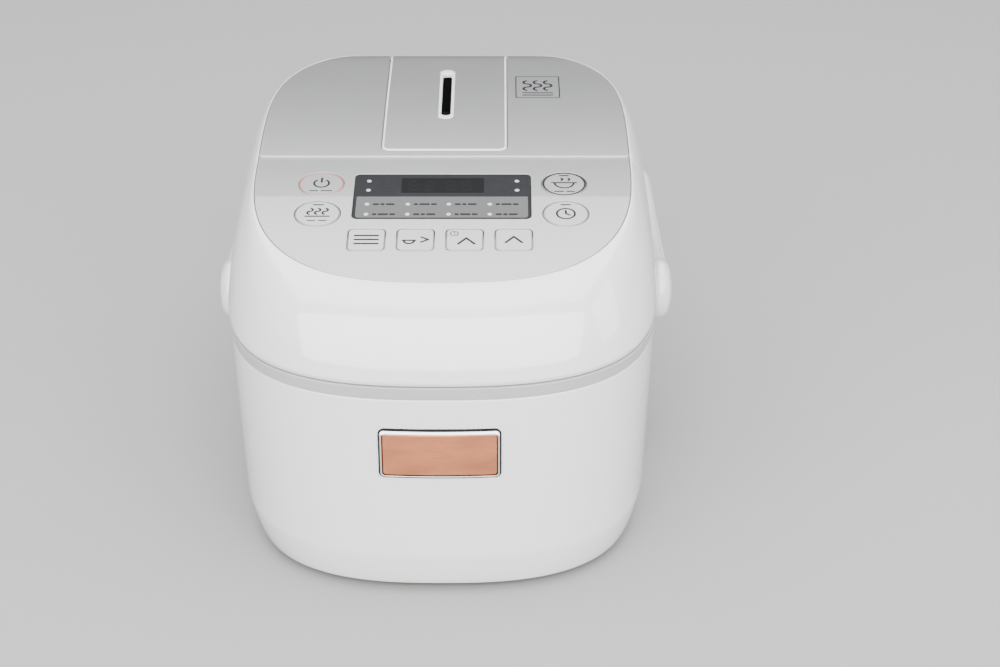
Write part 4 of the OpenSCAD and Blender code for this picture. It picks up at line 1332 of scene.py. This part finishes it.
def steam_cap():
    side = CAP_SIDE - 0.4
    curve = top_half(lambda x, y: (y > 60) & (np.abs(x) < side), inset=0.3)
    curve = curve if curve[0, 0] > curve[-1, 0] else curve[::-1]
    curve[0, 0], curve[-1, 0] = side, -side
    corner_r = 4.5
    front = [*arc(-CAP_CORNER, CAP_FRONT + corner_r, corner_r, 180, 270, 8),
             *arc(CAP_CORNER, CAP_FRONT + corner_r, corner_r, 270, 360, 8)]
    outline = spaced(np.concatenate([front, curve]), 2.2)
    rows = cover_rows(CAP_FRONT, TOP_BACK, 2.2)
    slot_hole = rounded_rect(9.4, 66.2, 4.6, 0, SLOT_Y, 1.5, 9)
    # The cap's body is in the light trim colour. The 1.25 mm of it left showing round the silver
    # film is a painted highlight along the cap's rounded edge.
    part = Part()
    plate(part, deeper(cover_surface, 0.1), outline, 2.9, 0.9, [slot_hole], 0.3, step=2.2,
          rows=rows, rounds=6)
    part.build("steam_cover_rim_painted_highlight", "trim_light", "steam_cap", ["steam_cover"])
    part = Part()
    film = outline - offset_lines(outline, 0) * 1.25
    plate(part, cover_surface, film, 0.3, 0.09, [slot_hole], 0.09, step=2.2, rows=rows,
          rounds=3)
    part.build("steam_cover_film", "silver_panel", "steam_cap")
    part = Part()
    plate(part, cover_surface, rounded_rect(9.2, 66, 4.5, 0, SLOT_Y, 1.5, 9), 3.0, 0.9,
          [rounded_rect(5.2, 56, 2.55, 0, SLOT_Y, 1.5, 9)], 1.0, step=1.5, rounds=7)
    part.build("slot_lip", "trim_light", "steam_cap", ["slot_trim"])
    part = Part()
    tray(part, (0, 85.5), 57, 85, 5.0, 158.6, 190.6, 1.5, cover_gap=3.2)
    lathe(part, tube(6.4, 8, 158.7, 171.9), (0, STEAM_Y, 0), radii=[0, 0, 0.5, 0.5], turns=48)
    part.build("steam_tray", "steam_box_dark", "steam_cap", ["steam_box"])
    part = Part()
    lathe(part, tube(9.2, 11.6, 157.95, 158.6), (0, STEAM_Y, 0), radii=0.2, turns=64)
    part.build("tray_seal", "silicone", "steam_cap", ["steam_seal"])


def tray(part, centre, w, d, r, bottom, top, wall, cover_gap):
    """An open rounded tray, whose rim stays cover_gap below the crowned cover."""
    x0, y0 = centre
    bend_r = 3.0
    outer, inner = [], []
    for a in range(0, 91, 15):
        s, c = math.sin(math.radians(a)), math.cos(math.radians(a))
        outer.append((bend_r * (1 - s), bottom + bend_r * (1 - c)))
        inner.append((wall + bend_r * (1 - s) * 0.6, bottom + wall + bend_r * 0.6 * (1 - c)))
    profile = [*outer, (0.0, top), (wall, top), *inner[::-1]]
    rows = []
    for k, (inset, z) in enumerate(profile):
        line = rounded_rect(w - 2 * inset, d - 2 * inset, max(0.5, r - inset), x0, y0, 1e9, 9)
        line_count = len(line)
        level = np.full(line_count, z)
        if z == top:
            level = np.minimum(top + 20, cover_z(line[:, 1]) - cover_gap)
        place = raised(line, level[:, None])
        out = unit_rows(offset_lines(line, 0))
        before, after = profile[max(0, k - 1)], profile[min(len(profile) - 1, k + 1)]
        slope = np.array([after[0] - before[0], after[1] - before[1]])
        normal = np.array([slope[1], slope[0]]) / max(1e-9, np.hypot(*slope))
        rows.append((place, raised(out * normal[0], normal[1])))
    made = [part.add(*row) for row in rows]
    for low, high in zip(made, made[1:]):
        part.strip(low, high)
    for index, facing in ((0, -1.0), (-1, 1.0)):
        place = rows[index][0]
        middle = place.mean(0)
        ids = part.add(np.concatenate([place, [middle]]),
                       np.tile([0, 0, facing], (line_count + 1, 1)))
        part.faces.append(np.array(
            [[ids[i], ids[(i + 1) % line_count], ids[-1]] for i in range(line_count)]))


# ---- carried-over CAD nodes ----

def finish_cad_nodes():
    slots = {s["node"]: s["material_slot"] for s in frame["record"]["subparts"]}
    for name, obj in frame["nodes"].items():
        obj.data.materials.clear()
        obj.data.materials.append(FINISHES[slots[name]])


# ---- stage ----

def area_light(name, place, target, size, size_y, radiance):
    data = bpy.data.lights.new(name, "AREA")
    data.shape = "RECTANGLE"
    data.size, data.size_y = size, size_y
    data.energy = radiance * size * size_y * math.pi
    obj = put_in_scene(name, data)
    obj.location = place
    toward = Vector(target) - Vector(place)
    obj.rotation_euler = toward.to_track_quat("-Z", "Y").to_euler()


def stage():
    mesh = bpy.data.meshes.new("floor")
    rim = circle(14, count=96)
    mesh.from_pydata([(x, y, 0.0) for x, y in rim], [], [tuple(range(96))])
    mesh.materials.append(finish("floor_paint", (0.36, 0.358, 0.355), 0.5, tone=0.01,
                                 tone_size=0.4, grain_size=0.01, level=0.3))
    put_in_scene("floor", mesh)

    world = bpy.data.worlds.new("studio")
    world.use_nodes = True
    tree = world.node_tree
    direction = tree.nodes.new("ShaderNodeTexCoord").outputs["Generated"]
    split = tree.nodes.new("ShaderNodeSeparateXYZ")
    tree.links.new(direction, split.inputs[0])
    sky = tree.nodes.new("ShaderNodeValToRGB")
    for element, (height, level) in zip(sky.color_ramp.elements, ((0.55, 0.2), (0.95, 0.9))):
        element.position = height
        element.color = (level, level, level * 1.02, 1)
    tree.links.new(split.outputs["Z"], sky.inputs["Fac"])
    tree.links.new(sky.outputs["Color"], tree.nodes["Background"].inputs["Color"])
    bpy.context.scene.world = world

    area_light("ceiling", (0, 0.43, 1.4), (0, 0.43, 0), 2.6, 2.06, 3.2)
    area_light("front_bank", (0, -1.75, 1.15), (0, -0.1, 0.15), 5.0, 1.9, 6.0)
    area_light("side_fill", (2.0, -0.4, 0.8), (0, 0, 0.1), 0.8, 1.2, 3.0)

    data = bpy.data.cameras.new("camera")
    data.lens = 75.6
    data.sensor_width = 36.0
    camera = put_in_scene("camera", data)
    camera.location = (0.031, -1.051 + BODY_Y * MM, 0.685)
    camera.rotation_euler = (math.radians(60), 0, 0)
    bpy.context.scene.camera = camera


finish_cad_nodes()
body_shell()
upper_frame()
base_cover()
feet()
screws()
inlet()
button()
handle()
handle_pivots()
pot()
hidden_springs()
lid_shell()
control_panel()
top_cover()
display()
keys()
steam_warning()
lid_inner_moulding()
inner_lid()
steam_cap()
stage()
